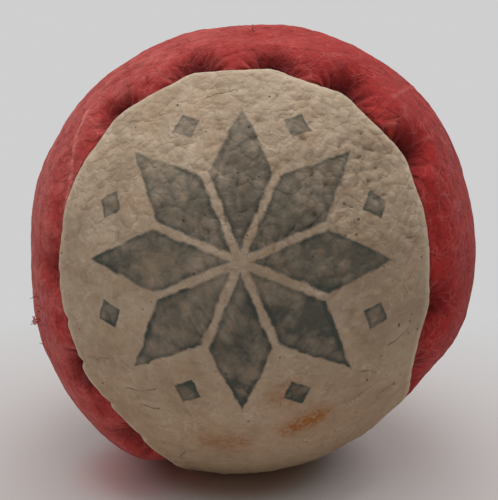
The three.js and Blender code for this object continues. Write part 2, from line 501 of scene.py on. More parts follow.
@dataclass(frozen=True)
class PhotoView:
    """The photograph's viewpoint, for the camera and for placing what one picture shows.

    Pixels count from the upper left corner. The distance and the sensor are in millimetres, the focal
    length in pixels, the elevation in degrees and the clipping in metres.
    """

    form: BagForm
    width: int = 498
    height: int = 500
    distance: float = 91.0
    elevation: float = 10.0
    focal: float = 753.7
    middle: Pixel = (249.6, 248.0)
    sensor: float = 36.0
    clip: tuple[float, float] = (0.005, 20.0)

    @cached_property
    def _axes(self) -> np.ndarray:
        """The view's right, up and forward directions, one per row."""
        e = math.radians(self.elevation)
        return np.array([[1, 0, 0], [0, math.sin(e), math.cos(e)], [0, math.cos(e), -math.sin(e)]])

    @property
    def eye(self) -> np.ndarray:
        """The camera's place about the ball's middle."""
        return -self.distance * self._axes[2]

    def directions(self, pixels: tuple[Pixel, ...] | np.ndarray) -> np.ndarray:
        """Finds where lines of sight meet the ball, or pass closest to it.

        Args:
            pixels: Places in the picture.

        Returns:
            Unit vectors from the ball's middle, as the bag lies.
        """
        aside = (np.asarray(pixels, float) - np.array(self.middle)) / self.focal
        ray = unit(aside[:, :1] * self._axes[0] - aside[:, 1:] * self._axes[1] + self._axes[2])
        nearest = -ray @ self.eye
        passing = self.distance**2 - nearest**2
        chord = np.sqrt(np.maximum(self.form.radius**2 - passing, 0))
        return unit(self.eye + ray * (nearest - chord)[:, None])

    def pattern(self, pixels: tuple[Pixel, ...] | np.ndarray) -> np.ndarray:
        """Directions in the panels' pattern for places in the picture."""
        return self.form.unturned(self.directions(pixels))

    def place(self, x: float, y: float) -> np.ndarray:
        """The place on the plain ball, in the pattern, that a pixel shows."""
        return self.pattern(((x, y),))[0] * self.form.radius

    def camera(self) -> bpy.types.Object:
        """Makes the camera at the photograph's viewpoint.

        Returns:
            The camera, which is also the scene's own.
        """
        data = bpy.data.cameras.new("photo_camera")
        data.sensor_width = self.sensor
        data.lens = self.focal / self.height * self.sensor
        data.clip_start, data.clip_end = self.clip
        right, up, _ = self._axes
        scale = self.distance / self.focal
        off_x, off_y = self.middle[0] - self.width / 2, self.middle[1] - self.height / 2
        look = Vector(unit(scale * (off_y * up - off_x * right) - self.eye))
        lens = bpy.data.objects.new("photo_camera", data)
        lens.location = Vector((self.eye + np.array([0, 0, self.form.centre_height])) * MM)
        lens.rotation_euler = look.to_track_quat("-Z", "Y").to_euler()
        bpy.context.scene.collection.objects.link(lens)
        bpy.context.scene.camera = lens
        return lens


@dataclass(frozen=True)
class Puckers:
    """Dimples where pulled stitches gather the leather beside the seam.

    Those that the picture shows have a place there and a strength; the rest come at even steps with some
    play. Each has a fan of folds over its rim, and each stitch nicks the edge a little. Leather that is
    drawn aside moves towards the red panel where the amount is positive. Sizes are in millimetres and turns
    in radians.
    """

    form: BagForm
    view: PhotoView
    count: int = 36
    play: float = 0.16
    spare: float = 0.8
    seen: tuple[tuple[float, float, float], ...] = (
        (52, 268, 0.5),
        (110, 105, 0.9),
        (190, 65, 0.9),
        (275, 60, 1.0),
        (348, 90, 1.0),
        (411, 150, 1.0),
        (441, 307, 0.6),
        (414, 376, 0.1),
    )
    unseen: tuple[float, float] = (0.7, 1.0)
    half_width: float = 1.9
    bowl_reach: float = 3.2
    pull: float = 0.9
    pull_reach: float = 5.0
    even_pull: float = 0.35
    lie: float = -0.65
    drawn_aside: tuple[Dent, ...] = (
        Dent(152, 448, -3.4, 6.5),
        Dent(120, 420, -0.8, 5.0),
        Dent(66, 310, 0.6, 5.0),
        Dent(391, 410, 3.4, 4.5),
        Dent(422, 365, -0.6, 6.0),
        Dent(335, 80, -0.4, 16.0),
    )
    stitches: int = 64
    notch: float = 0.08
    slack_notch: Dent = Dent(100, 395, 0.85, 10.0)
    notch_sizes: tuple[float, float] = (0.5, 1.3)
    notch_width: float = 0.45
    notch_reach: float = 1.6
    fan: int = 9
    fan_spread: float = 1.25
    fan_play: float = 0.08
    fan_root: float = 0.3
    fan_step: float = 10.0
    fold_width: float = 0.18
    fold_flare: float = 0.05
    fold_place: float = 0.8
    fold_lengths: tuple[float, float] = (0.8, 1.5)
    seed: int = 7

    @cached_property
    def pulls(self) -> np.ndarray:
        """Sets out the puckers.

        Returns:
            Each one's place as a share of the seam, and how hard its stitch pulls, one row each.
        """
        random = np.random.default_rng(self.seed)
        even = (np.arange(self.count) + random.uniform(-self.play, self.play, self.count)) / self.count
        seen = np.array(self.seen)
        shown = self.form.from_seam(self.view.pattern(seen[:, :2]))[1]
        apart = np.abs(np.mod(even[:, None] - shown + 0.5, 1) - 0.5).min(axis=1)
        rest = even[apart > self.spare / self.count]
        strength = random.uniform(*self.unseen, len(rest))
        return np.concatenate([np.stack([shown, seen[:, 2]], axis=1), np.stack([rest, strength], axis=1)])

    def _along(self, foot: np.ndarray) -> Iterator[tuple[np.ndarray, float]]:
        """Gives, for each pucker in turn, the distances from it along the seam, and its strength.

        Args:
            foot: Places on the seam, as shares of it.

        Returns:
            Signed distances and the strength.
        """
        for share, strength in self.pulls:
            yield (np.mod(foot - share + 0.5, 1) - 0.5) * self.form.seam_length, strength

    def about_root(self, gap: np.ndarray, foot: np.ndarray) -> tuple[np.ndarray, np.ndarray]:
        """Gives places about the root of the nearest pucker, for its fan of folds.

        Args:
            gap: Distance from the seam.
            foot: Nearest place on the seam, as a share of it.

        Returns:
            The turn away from square to the seam, in radians, a step apart for each pucker, and the reach.
        """
        along = np.stack([distance for distance, _ in self._along(foot)])
        nearest = np.abs(along).argmin(axis=0)
        aside = along[nearest, np.arange(len(gap))]
        turn = np.arctan2(aside, gap + self.fan_root)
        return turn + self.fan_step * nearest, np.hypot(aside, gap + self.fan_root)

    def valley(self, gap: np.ndarray, foot: np.ndarray, spread: float = 0.0) -> np.ndarray:
        """Tells how much a place lies in the line of a pucker.

        Args:
            gap: Distance from the seam.
            foot: Nearest place on the seam, as a share of it.
            spread: How much the pucker widens per millimetre away from the seam.

        Returns:
            0 between puckers to 1 in the middle of a strong one.
        """
        width = self.half_width + spread * gap
        pulled = [strength * smooth_bell(along, width) for along, strength in self._along(foot)]
        return np.max(pulled, axis=0)

    def bowl(self, gap: np.ndarray, foot: np.ndarray) -> np.ndarray:
        """Gives the dimples themselves, as bowls with a steep wall.

        Args:
            gap: Distance from the seam.
            foot: Nearest place on the seam, as a share of it.

        Returns:
            0 outside to 1 at the bottom of a strong one.
        """
        total = np.zeros(len(gap))
        for along, strength in self._along(foot):
            away = np.hypot(along / self.half_width, gap / self.bowl_reach)
            total = np.maximum(total, strength * np.exp(-(away**3)))
        return total

    def fans(self, gap: np.ndarray, foot: np.ndarray) -> np.ndarray:
        """Gives the creases that fan out over the rim of each dimple.

        Args:
            gap: Distance from the seam.
            foot: Nearest place on the seam, as a share of it.

        Returns:
            1 along the creases and 0 between them.
        """
        random = np.random.default_rng(self.seed + 2)
        spread = np.linspace(-self.fan_spread, self.fan_spread, self.fan)
        total = np.zeros(len(gap))
        for along, strength in self._along(foot):
            near = np.flatnonzero((np.abs(along) < 2 * self.bowl_reach) & (gap < 2 * self.bowl_reach))
            reach = np.hypot(along[near], gap[near] + self.fan_root)
            turn = np.arctan2(along[near], gap[near] + self.fan_root)
            for angle in spread + random.normal(scale=self.fan_play, size=self.fan):
                line = smooth_bell(reach * np.sin(turn - angle), self.fold_width + self.fold_flare * reach)
                beyond = reach - self.fold_place * self.bowl_reach
                line = line * smooth_bell(beyond, random.uniform(*self.fold_lengths))
                total[near] = np.maximum(total[near], strength * line)
        return total

    def shift(self, gap: np.ndarray, foot: np.ndarray) -> np.ndarray:
        """Tells how far the leather is drawn towards the red panel.

        Args:
            gap: Distance from the seam.
            foot: Nearest place on the seam, as a share of it.

        Returns:
            Millimetres along the ball.
        """
        drawn = self.pull * (self.valley(gap, foot) - self.even_pull) + self.lie
        for dent in self.drawn_aside:
            drawn = drawn + dent.amount * self._near(dent, foot)
        size = np.random.default_rng(self.seed + 3).uniform(*self.notch_sizes, self.stitches)
        size = size[(foot * self.stitches).astype(int) % self.stitches]
        slack = self.slack_notch.amount * self._near(self.slack_notch, foot)
        stitch = (np.mod(foot * self.stitches, 1) - 0.5) * self.form.seam_length / self.stitches
        notch = size * (self.notch + slack) * smooth_bell(stitch, self.notch_width)
        return drawn * smooth_bell(gap, self.pull_reach) - notch * smooth_bell(gap, self.notch_reach)

    def _near(self, dent: Dent, foot: np.ndarray) -> np.ndarray:
        """Tells how near places on the seam are to one in the picture.

        Args:
            dent: The place and its reach.
            foot: Places on the seam, as shares of it.

        Returns:
            1 there to 0 beyond its reach.
        """
        offset = self.form.seam_points(foot) * self.form.radius - self.view.place(dent.x, dent.y)
        return smooth_bell(np.linalg.norm(offset, axis=1), dent.reach)


class Ring(NamedTuple):
    """A row of points round a panel, at an offset from the seam and a depth under the outer face.

    On the dome it lies part of the way from that offset to the panel's spine.
    """

    offset: float
    depth: float
    part: float | None = None


@dataclass
class Skin:
    """Points of a panel's surface, one per row, with where they lie about the seam.

    The pattern holds directions, and places are those on a plain ball, in millimetres.
    """

    pattern: np.ndarray
    places: np.ndarray
    depth: np.ndarray
    gap: np.ndarray
    foot: np.ndarray


@dataclass
class Relief:
    """Heights over the plain form in millimetres, and the measures for the material."""

    broad: np.ndarray
    fine: np.ndarray
    marks: dict[Mark, np.ndarray]


@dataclass
class LeatherPanel(ABC):
    """A figure-eight panel as a closed sheet: a dome, a rolled shoulder and a turned-in, holed edge.

    Its flat cut is about as long as the two lobes and the neck, taken over the ball, and as wide as a lobe.
    """

    form: BagForm
    view: PhotoView
    puckers: Puckers
    leather: float = 1.2
    edge_face: float = 0.15
    edge_depth: float = 5.2
    hole_depth: float = 3.6
    hole_reach: float = 0.6
    flat_width: float = 55.0
    flat_length: float = 152.0
    flat_area: float = 5000.0
    stitch_columns: int = 20
    hole_columns: tuple[int, int] = (6, 13)
    dome_rings: int = 58
    dome_crowding: float = 0.55
    roll_rings: int = 8
    inner_rings: int = 6
    roll: float = 0.9
    inner_fold: float = 0.8
    line_wander: float = 0.2
    line_lump: float = 1.5
    line_end: float = 0.35
    line_room: float = 9.0
    dents: tuple[Dent, ...] = (
        Dent(26, 258, -0.65, 11.0),
        Dent(265, 28, -0.55, 3.0),
        Dent(195, 38, -0.3, 11.0),
        Dent(108, 88, -0.3, 7.0),
        Dent(288, 24, 0.2, 3.0),
        Dent(125, 448, 0.3, 9.0),
        Dent(466, 318, 0.4, 8.0),
        Dent(392, 92, 0.35, 8.0),
    )

    side: ClassVar[Side]
    node: ClassVar[str]
    slot: ClassVar[str]
    piece: ClassVar[str]

    @abstractmethod
    def relief(self, skin: Skin) -> Relief:
        """Gives the heights and measures of the leather at each point."""

    @abstractmethod
    def finish(self) -> bpy.types.Material:
        """Makes the panel's material."""

    @property
    def columns(self) -> int:
        """Points round each ring."""
        return self.puckers.stitches * self.stitch_columns

    def rings(self) -> tuple[list[Ring], list[Ring]]:
        """Lays out the rings.

        Returns:
            Those of the outer face, from the spine to the tip of the edge, and those of the inner one back.
        """
        shoulder = self.edge_face + self.roll
        parts = np.linspace(1, 0, self.dome_rings + 1)
        parts = (1 - self.dome_crowding) * parts + self.dome_crowding * parts**2
        outer = [Ring(shoulder, 0, part) for part in parts]
        for turn in np.linspace(0, math.pi / 2, self.roll_rings + 1)[1:]:
            outer.append(Ring(shoulder - self.roll * math.sin(turn), self.roll * (1 - math.cos(turn))))
        depths = [self.hole_depth - self.hole_reach, self.hole_depth + self.hole_reach, self.edge_depth]
        outer += [Ring(self.edge_face, depth) for depth in depths]
        back = self.edge_face + self.leather
        inner = [Ring(back, depth) for depth in reversed(depths)]
        inner.append(Ring(back, self.leather + self.inner_fold))
        for part in np.linspace(0, 1, self.inner_rings + 1):
            inner.append(Ring(back + self.inner_fold, self.leather, part))
        return outer, inner

    def skin(self, rings: list[Ring]) -> Skin:
        """Lays the points of some rings.

        Args:
            rings: The rings, each of which gets a point for every column.

        Returns:
            The points, ring after ring.
        """
        shares = (np.arange(self.columns) + 0.5) / self.columns
        pattern, depth, gap, foot = [], [], [], []
        for ring in rings:
            if ring.part is None:
                directions = self.form.beside_seam(shares, self.side.value * ring.offset, ring.depth)
                distance, nearest = np.full(self.columns, ring.offset), shares
            else:
                edge = self.form.beside_seam(shares, self.side.value * ring.offset, 0)
                directions = self.form.on_dome(edge, self.side, ring.part)
                distance, nearest = self.form.from_seam(directions)
            pattern.append(directions)
            depth.append(np.full(self.columns, ring.depth))
            gap.append(distance)
            foot.append(nearest)
        laid = np.concatenate(pattern)
        return Skin(laid, laid * self.form.radius, *(np.concatenate(rows) for rows in (depth, gap, foot)))

    def placed(self, skin: Skin, height: np.ndarray) -> np.ndarray:
        """Places the skin's points, with the seam drawn aside at the puckers and held at the awl holes.

        Args:
            skin: The points.
            height: Millimetres over the plain form.

        Returns:
            Places in the frame, in millimetres.
        """
        hold = np.clip(1 - skin.depth / (self.hole_depth - self.hole_reach), 0, 1)
        shift = hold * self.puckers.shift(skin.gap, skin.foot)
        aside = self.form.seam_asides(skin.foot)
        directions = unit(skin.pattern - aside * (shift / self.form.radius)[:, None])
        return self.form.points(directions, hold * height - skin.depth)

    def swollen(self, places: np.ndarray, dents: tuple[Dent, ...]) -> np.ndarray:
        """Gives broad dents and swells that the picture shows.

        Args:
            places: Points of the skin.
            dents: Where they are, how high and how wide.

        Returns:
            Heights in millimetres.
        """
        total = np.zeros(len(places))
        for dent in dents:
            away = np.linalg.norm(places - self.view.place(dent.x, dent.y), axis=1)
            total += dent.amount * smooth_bell(away, dent.reach)
        return total

    def lines(
        self, places: np.ndarray, paths: tuple[tuple[Pixel, ...], ...]
    ) -> tuple[np.ndarray, np.ndarray]:
        """Measures the skin about thin lines that the picture shows, which stray a little from straight.

        Args:
            places: Points of the skin.
            paths: Corners of each line in the picture.

        Returns:
            The signed distance across the nearest line, and 1 along it to 0 past its ends.
        """
        noises = (GradientNoise(Seed.LINE_WANDER + axis) for axis in range(3))
        strays = [noise.sample(places, self.line_lump, 2) for noise in noises]
        strayed = places + self.line_wander * np.stack(strays, axis=-1)
        across = np.full(len(places), self.line_room)
        along = np.zeros(len(places))
        for path in paths:
            corners = self.view.pattern(path) * self.form.radius
            for start, end in zip(corners[:-1], corners[1:]):
                way = end - start
                share = (strayed - start) @ way / (way @ way)
                inside = np.clip(share, 0, 1)
                offset = strayed - start - inside[:, None] * way
                away = np.linalg.norm(offset, axis=1)
                nearer = away < np.abs(across)
                across = np.where(nearer, np.copysign(away, offset @ np.cross(way, start)), across)
                past = np.abs(share - inside) * np.linalg.norm(way)
                along = np.where(nearer, smooth_bell(past, self.line_end), along)
        return across, along

    def faces(self, outer_rings: int, inner_rings: int) -> list[list[int]]:
        """Joins the rings, with awl holes through the turned-in edge and both spines closed.

        Args:
            outer_rings: Rings of the outer face.
            inner_rings: Rings of the inner face.

        Returns:
            Point numbers round each face.
        """
        count = self.columns
        total = outer_rings + inner_rings
        mirror = np.mod((count // 2 if self.side is Side.CREAM else 0) - 1 - np.arange(count), count)
        # A spine's two sides meet, so each point there is one with the point across it.
        weld = np.arange(total * count)
        weld[:count] = np.minimum(np.arange(count), mirror)
        weld[-count:] = (total - 1) * count + weld[:count]
        # The rings just above the holes in the outer face, and just below them in the inner one.
        front, back = outer_rings - 3, outer_rings + 1
        first, last = self.hole_columns
        faces = []
        for ring in range(total - 1):
            for i in range(count):
                if ring in (front, back) and first <= i % self.stitch_columns < last:
                    continue
                j = (i + 1) % count
                near, far = ring * count, (ring + 1) * count
                corners = (near + i, near + j, far + j, far + i)
                faces.append(list(dict.fromkeys(int(weld[corner]) for corner in corners)))
        for stitch in range(self.puckers.stitches):
            left = stitch * self.stitch_columns + first
            right = stitch * self.stitch_columns + last
            top, low, far_low, far_top = (
                list(range(ring * count + left, ring * count + right + 1))
                for ring in (front, front + 1, back, back + 1)
            )
            for near, far in ((top, far_top), (far_low, low)):
                faces += [[near[k], near[k + 1], far[k + 1], far[k]] for k in range(len(near) - 1)]
            faces.append([top[-1], low[-1], far_low[-1], far_top[-1]])
            faces.append([low[0], top[0], far_top[0], far_low[0]])
        return faces

    def build(self) -> bpy.types.Object:
        """Makes the panel's mesh, dresses it, and puts it in the place of the frame's solid.

        Returns:
            The finished panel.
        """
        outer, inner = self.rings()
        front, back = self.skin(outer), self.skin(inner)
        shape, lining = self.relief(front), self.relief(back)
        points = [self.placed(front, shape.broad + shape.fine), self.placed(back, lining.broad)]
        panel = link_mesh(self.piece, np.concatenate(points), self.faces(len(outer), len(inner)))
        mesh = panel.data
        for mark, values in shape.marks.items():
            values = np.concatenate([values, lining.marks[mark]]).astype(np.float32)
            mesh.attributes.new(mark.value, "FLOAT", "POINT").data.foreach_set("value", values)
        work = bmesh.new()
        work.from_mesh(mesh)
        spare = [point for point in work.verts if not point.link_faces]
        bmesh.ops.delete(work, geom=spare, context="VERTS")
        bmesh.ops.recalc_face_normals(work, faces=work.faces)
        work.to_mesh(mesh)
        work.free()
        mesh.shade_smooth()
        mesh.materials.append(self.finish())
        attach(panel, BAG)
        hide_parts(self.node)
        return panel


@dataclass(frozen=True)
class StarPrint:
    """An eight-pointed star of lozenges, with a small diamond between its points; sizes in millimetres."""

    middle: Pixel = (240, 262)
    reach: float = 15.8
    points: int = 8
    gap: float = 0.7
    diamond: float = 1.5
    diamond_place: float = 13.9
    room: float = 20.0

    def spread(self, form: BagForm, view: PhotoView, places: np.ndarray) -> dict[Mark, np.ndarray]:
        """Measures places about the print's middle, on the leather as it lay flat.

        Args:
            form: The bag's form.
            view: The picture's view, which gives the middle its place.
            places: Points of the skin.

        Returns:
            How far each lies to the right and up, and 1 where there is room for the print.
        """
        out = view.pattern((self.middle,))[0]
        right = form.unturned(np.array([1.0, 0, 0]))
        right = unit(right - out * (right @ out))
        away = form.radius * np.arccos(np.clip(unit(places) @ out, -1, 1))
        turn = np.arctan2(places @ np.cross(out, right), places @ right)
        return {
            Mark.PRINT: np.clip(self.room - away, 0, 1),
            Mark.PRINT_RIGHT: away * np.cos(turn),
            Mark.PRINT_UP: away * np.sin(turn),
        }

    def edge(self, tree: Tree, right: Socket, up: Socket) -> Socket:
        """Draws the shape from the straight sides of one point and one diamond, folded all round.

        Args:
            tree: The material's node tree.
            right: Millimetres to the right of the middle.
            up: Millimetres up from the middle.

        Returns:
            Millimetres from the outline, positive in the ink.
        """
        half = math.pi / self.points
        turn = add_node(tree, "Math", {0: up, 1: right}, operation="ARCTAN2")
        turn = add_node(tree, "Math", {0: turn, 1: half}, operation="PINGPONG")
        away = add_node(tree, "CombineXYZ", {"X": right, "Y": up})
        away = add_node(tree, "VectorMath", {0: away}, "Value", operation="LENGTH")
        x, y = (add_node(tree, "Math", {0: turn}, operation=way) for way in ("COSINE", "SINE"))
        spot = add_node(tree, "CombineXYZ", {"X": x, "Y": y})
        spot = add_node(tree, "VectorMath", {0: spot, "Scale": away}, operation="SCALE")
        steep, flat = math.sin(half), math.cos(half)
        walls = []
        for x, y, start in (
            (steep, -flat, -self.gap / 2),
            (-steep, -flat, self.reach * steep - self.gap / 2),
            (-flat - steep, flat - steep, self.diamond + self.diamond_place),
            (flat - steep, flat + steep, self.diamond - self.diamond_place),
        ):
            wall = add_node(tree, "VectorMath", {0: spot, 1: (x, y, 0)}, "Value", operation="DOT_PRODUCT")
            walls.append(add_node(tree, "Math", {0: wall, 1: start}, operation="ADD"))
        lozenge = add_node(tree, "Math", {0: walls[0], 1: walls[1]}, operation="MINIMUM")
        diamond = add_node(tree, "Math", {0: walls[2], 1: walls[3]}, operation="MINIMUM")
        return add_node(tree, "Math", {0: lozenge, 1: diamond}, operation="MAXIMUM")


@dataclass
class CreamPanel(LeatherPanel):
    """The cream panel: pebbled worn leather with hairline cracks, whose lobe faces the camera."""

    lip: float = 0.2
    lip_place: float = 1.8
    lip_width: float = 1.6
    dip: float = 0.2
    dip_reach: float = 2.2
    dip_spread: float = 0.25
    lumps: Lumps = Lumps(Seed.CREAM_LUMPS, 0.16, 7.0, 2)
    ripples: Lumps = Lumps(Seed.CREAM_LUMPS, 0.035, 1.1, 2)
    grain_cell: float = 1.5
    grain_area: float = 0.87
    grain_play: float = 0.3
    grain_slope: float = 0.9
    grain_height: float = 0.26
    grain_middle: float = 0.6
    grain_wear: Lumps = Lumps(Seed.WORN_GRAIN, 0.35, 5.0, 1)
    grain_kept: float = 0.75
    rim_wear: float = 0.75
    rim_reach: float = 2.4
    warp: float = 0.45
    warp_size: float = 2.4
    pit_depth: float = 0.16
    pit_size: float = 0.14
    pits_among: tuple[int, int] = (2, 7)
    pit_grain: tuple[float, float] = (3.0, 1.5)
    crack_depth: float = 0.1
    crack_width: float = 0.2
    crumple_depth: float = 0.1
    crumple_darkening: float = 0.3
    crumple: Crumple = Crumple(Seed.CREAM_PATCHES, 9.0, 0.7, Seed.CREAM_CREASES, 4.0, 0.09)
    bold_grain: Dent = Dent(345, 165, 0.55, 15.0)
    hollows: tuple[Dent, ...] = (Dent(178, 467, -0.35, 3.0), Dent(360, 436, -0.35, 3.2))
    cracks: tuple[tuple[Pixel, ...], ...] = (
        ((88, 357), (96, 359), (106, 358)),
        ((126, 387), (140, 391), (154, 389)),
        ((140, 404), (150, 408), (158, 409)),
        ((170, 452), (182, 450), (194, 449)),
        ((383, 349), (396, 341), (411, 331)),
        ((352, 400), (363, 394), (372, 388)),
        ((363, 413), (370, 408), (379, 401)),
        ((378, 396), (386, 390), (394, 384)),
        ((360, 372), (370, 370), (376, 373)),
        ((333, 408), (345, 402)),
        ((206, 95), (222, 88), (238, 83)),
        ((410, 237), (419, 236)),
    )
    stains: tuple[Dent, ...] = (
        Dent(205, 440, 0.4, 1.4),
        Dent(222, 443, 0.5, 1.6),
        Dent(240, 441, 0.6, 1.2),
        Dent(288, 432, 0.9, 1.1),
        Dent(302, 424, 1.0, 1.3),
        Dent(318, 416, 1.0, 1.3),
        Dent(284, 396, 0.5, 1.6),
    )

    side: ClassVar[Side] = Side.CREAM
    node: ClassVar[str] = "cream_panel"
    slot: ClassVar[str] = "cream_leather"
    piece: ClassVar[str] = "cream_leather"

    def grain(self, places: np.ndarray) -> tuple[np.ndarray, np.ndarray]:
        """Grows the pebbles of the grain round scattered seeds.

        Args:
            places: Points of the skin.

        Returns:
            0 in the valleys to 1 on top of the pebbles, and 1 in the pits where some of them meet.
        """
        random = np.random.default_rng(Seed.PEBBLES)
        count = int(4 * math.pi * self.form.radius**2 / (self.grain_area * self.grain_cell**2))
        number = np.arange(count) + 0.5
        height = 1 - 2 * number / count
        turn = number * math.pi * (3 - math.sqrt(5))
        ring = np.sqrt(1 - height**2)
        seeds = np.stack([ring * np.cos(turn), ring * np.sin(turn), height], axis=-1) * self.form.radius
        seeds = seeds + random.normal(scale=self.grain_play * self.grain_cell, size=seeds.shape)
        tree = KDTree(count)
        for i, seed in enumerate(seeds):
            tree.insert(seed, i)
        tree.balance()
        noises = (GradientNoise(Seed.PEBBLE_WARP + axis) for axis in range(3))
        warps = [noise.sample(places, self.warp_size, 2) for noise in noises]
        found = [tree.find_n(place, 3) for place in places + self.warp * np.stack(warps, axis=-1)]
        first, second, third = np.array([[hit[2] for hit in hits] for hits in found]).T
        meeting = np.array([sum(hit[1] for hit in hits) for hits in found])
        edge = np.clip((second - first) / (self.grain_slope * self.grain_cell), 0, 1)
        some, among = self.pits_among
        pits = smooth_bell(third - first, self.pit_size * self.grain_cell) * (meeting % among < some)
        return edge * (2 - edge), pits

    def relief(self, skin: Skin) -> Relief:
        """Gives the lip at the seam, soft lumps of the filling, the grain, cracks and stains.

        Args:
            skin: Points of the panel.

        Returns:
            Heights and measures at each point.
        """
        places, gap = skin.places, skin.gap
        valley = self.puckers.valley(gap, skin.foot, self.dip_spread)
        broad = self.lip * smooth_bell(gap - self.lip_place, self.lip_width)
        broad = broad - self.dip * valley * smooth_bell(gap, self.dip_reach)
        broad = broad + self.lumps.at(places) + self.swollen(places, self.dents + self.hollows)
        strength = 1 - self.bold_grain.amount + self.swollen(places, (self.bold_grain,))
        strength = strength * (self.grain_kept + self.grain_wear.at(places))
        strength = strength * (1 - self.rim_wear * smooth_bell(gap, self.rim_reach))
        grain, pits = self.grain(places)
        # Pits show only where the grain is bold.
        gain, least = self.pit_grain
        pits = pits * np.clip(gain * strength - least, 0, 1)
        across, along = self.lines(places, self.cracks)
        creases = self.crumple.at(places)
        fine = self.grain_height * strength * (grain - self.grain_middle)
        fine = fine - self.crumple_depth * creases - self.pit_depth * pits + self.ripples.at(places)
        fine = fine - self.crack_depth * along * smooth_bell(across, self.crack_width)
        marks = {
            Mark.GAP: gap,
            Mark.GRAIN: 1 - strength * (1 - grain) - self.crumple_darkening * creases,
            Mark.ACROSS_LINE: across,
            Mark.ALONG_LINE: along,
            Mark.PIT: pits,
            Mark.STAIN: self.swollen(places, self.stains),
        } | StarPrint().spread(self.form, self.view, places)
        return Relief(broad, fine, marks)

    def finish(self) -> bpy.types.Material:
        """Makes the grained leather with its print."""
        return GrainedLeather().material()


@dataclass
class RedPanel(LeatherPanel):
    """The red panel: suede-like leather that dives under the cream edge in a row of puckers."""

    roll: float = 0.6
    sink: float = 0.7
    sink_reach: float = 2.4
    puff: float = 0.35
    puff_place: float = 3.2
    puff_width: float = 2.2
    puff_spread: float = 0.3
    pucker: float = 2.1
    rim_play: Lumps = Lumps(Seed.BOWL_RIM, 0.1, 4.0, 1)
    gather: float = 0.38
    gather_shade: float = 0.6
    lumps: Lumps = Lumps(Seed.RED_LUMPS, 0.18, 8.0, 2)
    ripples: Lumps = Lumps(Seed.RED_LUMPS, 0.07, 1.8, 3)
    crumple_depth: float = 0.08
    crumple: Crumple = Crumple(Seed.RED_PATCHES, 8.0, 0.8, Seed.RED_CREASES, 3.2, 0.1)
    line_wander: float = 0.15
    fold_height: float = 0.07
    fold_width: float = 0.25
    bulge_gap: float = 2.0
    bulges: tuple[Dent, ...] = (Dent(118, 442, 0.3, 6.0), Dent(252, 27, -0.85, 3.2))
    hollows: tuple[Dent, ...] = (Dent(403, 402, -1.2, 5.0),)
    folds: tuple[tuple[Pixel, ...], ...] = (
        ((86, 108), (72, 140), (61, 174), (54, 205), (51, 232)),
        ((370, 123), (386, 120), (402, 122)),
        ((392, 100), (402, 92), (412, 88)),
        ((408, 148), (416, 141), (428, 139)),
    )

    side: ClassVar[Side] = Side.RED
    node: ClassVar[str] = "red_panel"
    slot: ClassVar[str] = "red_leather"
    piece: ClassVar[str] = "red_leather"

    def relief(self, skin: Skin) -> Relief:
        """Gives the puckers and the puffs between them, fine gathers, soft lumps and creases.

        Args:
            skin: Points of the panel.

        Returns:
            Heights and measures at each point.
        """
        places, gap, foot = skin.places, skin.gap, skin.foot
        bowl = self.puckers.bowl(gap * (1 + self.rim_play.at(places)), foot)
        valley = self.puckers.valley(gap, foot, self.puff_spread)
        broad = -self.sink * smooth_bell(gap, self.sink_reach) - self.pucker * bowl
        broad = broad + self.puff * (1 - valley) * smooth_bell(gap - self.puff_place, self.puff_width)
        broad = broad + self.lumps.at(places) + self.swollen(places, self.dents + self.hollows)
        broad = broad + self.swollen(places, self.bulges) * (1 - smooth_bell(gap, self.bulge_gap))
        fans = self.puckers.fans(gap, foot)
        across, along = self.lines(places, self.folds)
        creases = self.crumple.at(places)
        turn, reach = self.puckers.about_root(gap, foot)
        fine = self.fold_height * along * smooth_bell(across, self.fold_width)
        fine = fine - self.gather * fans - self.crumple_depth * creases + self.ripples.at(places)
        marks = {
            Mark.GAP: gap,
            Mark.VALLEY: np.maximum(bowl, self.gather_shade * fans),
            Mark.GRAIN: 1 - creases,
            Mark.ACROSS_LINE: across,
            Mark.ALONG_LINE: along,
            Mark.FAN_TURN: turn,
            Mark.FAN_REACH: reach,
        }
        return Relief(broad, fine, marks)

    def finish(self) -> bpy.types.Material:
        """Makes the red suede."""
        return NappedSuede().material()


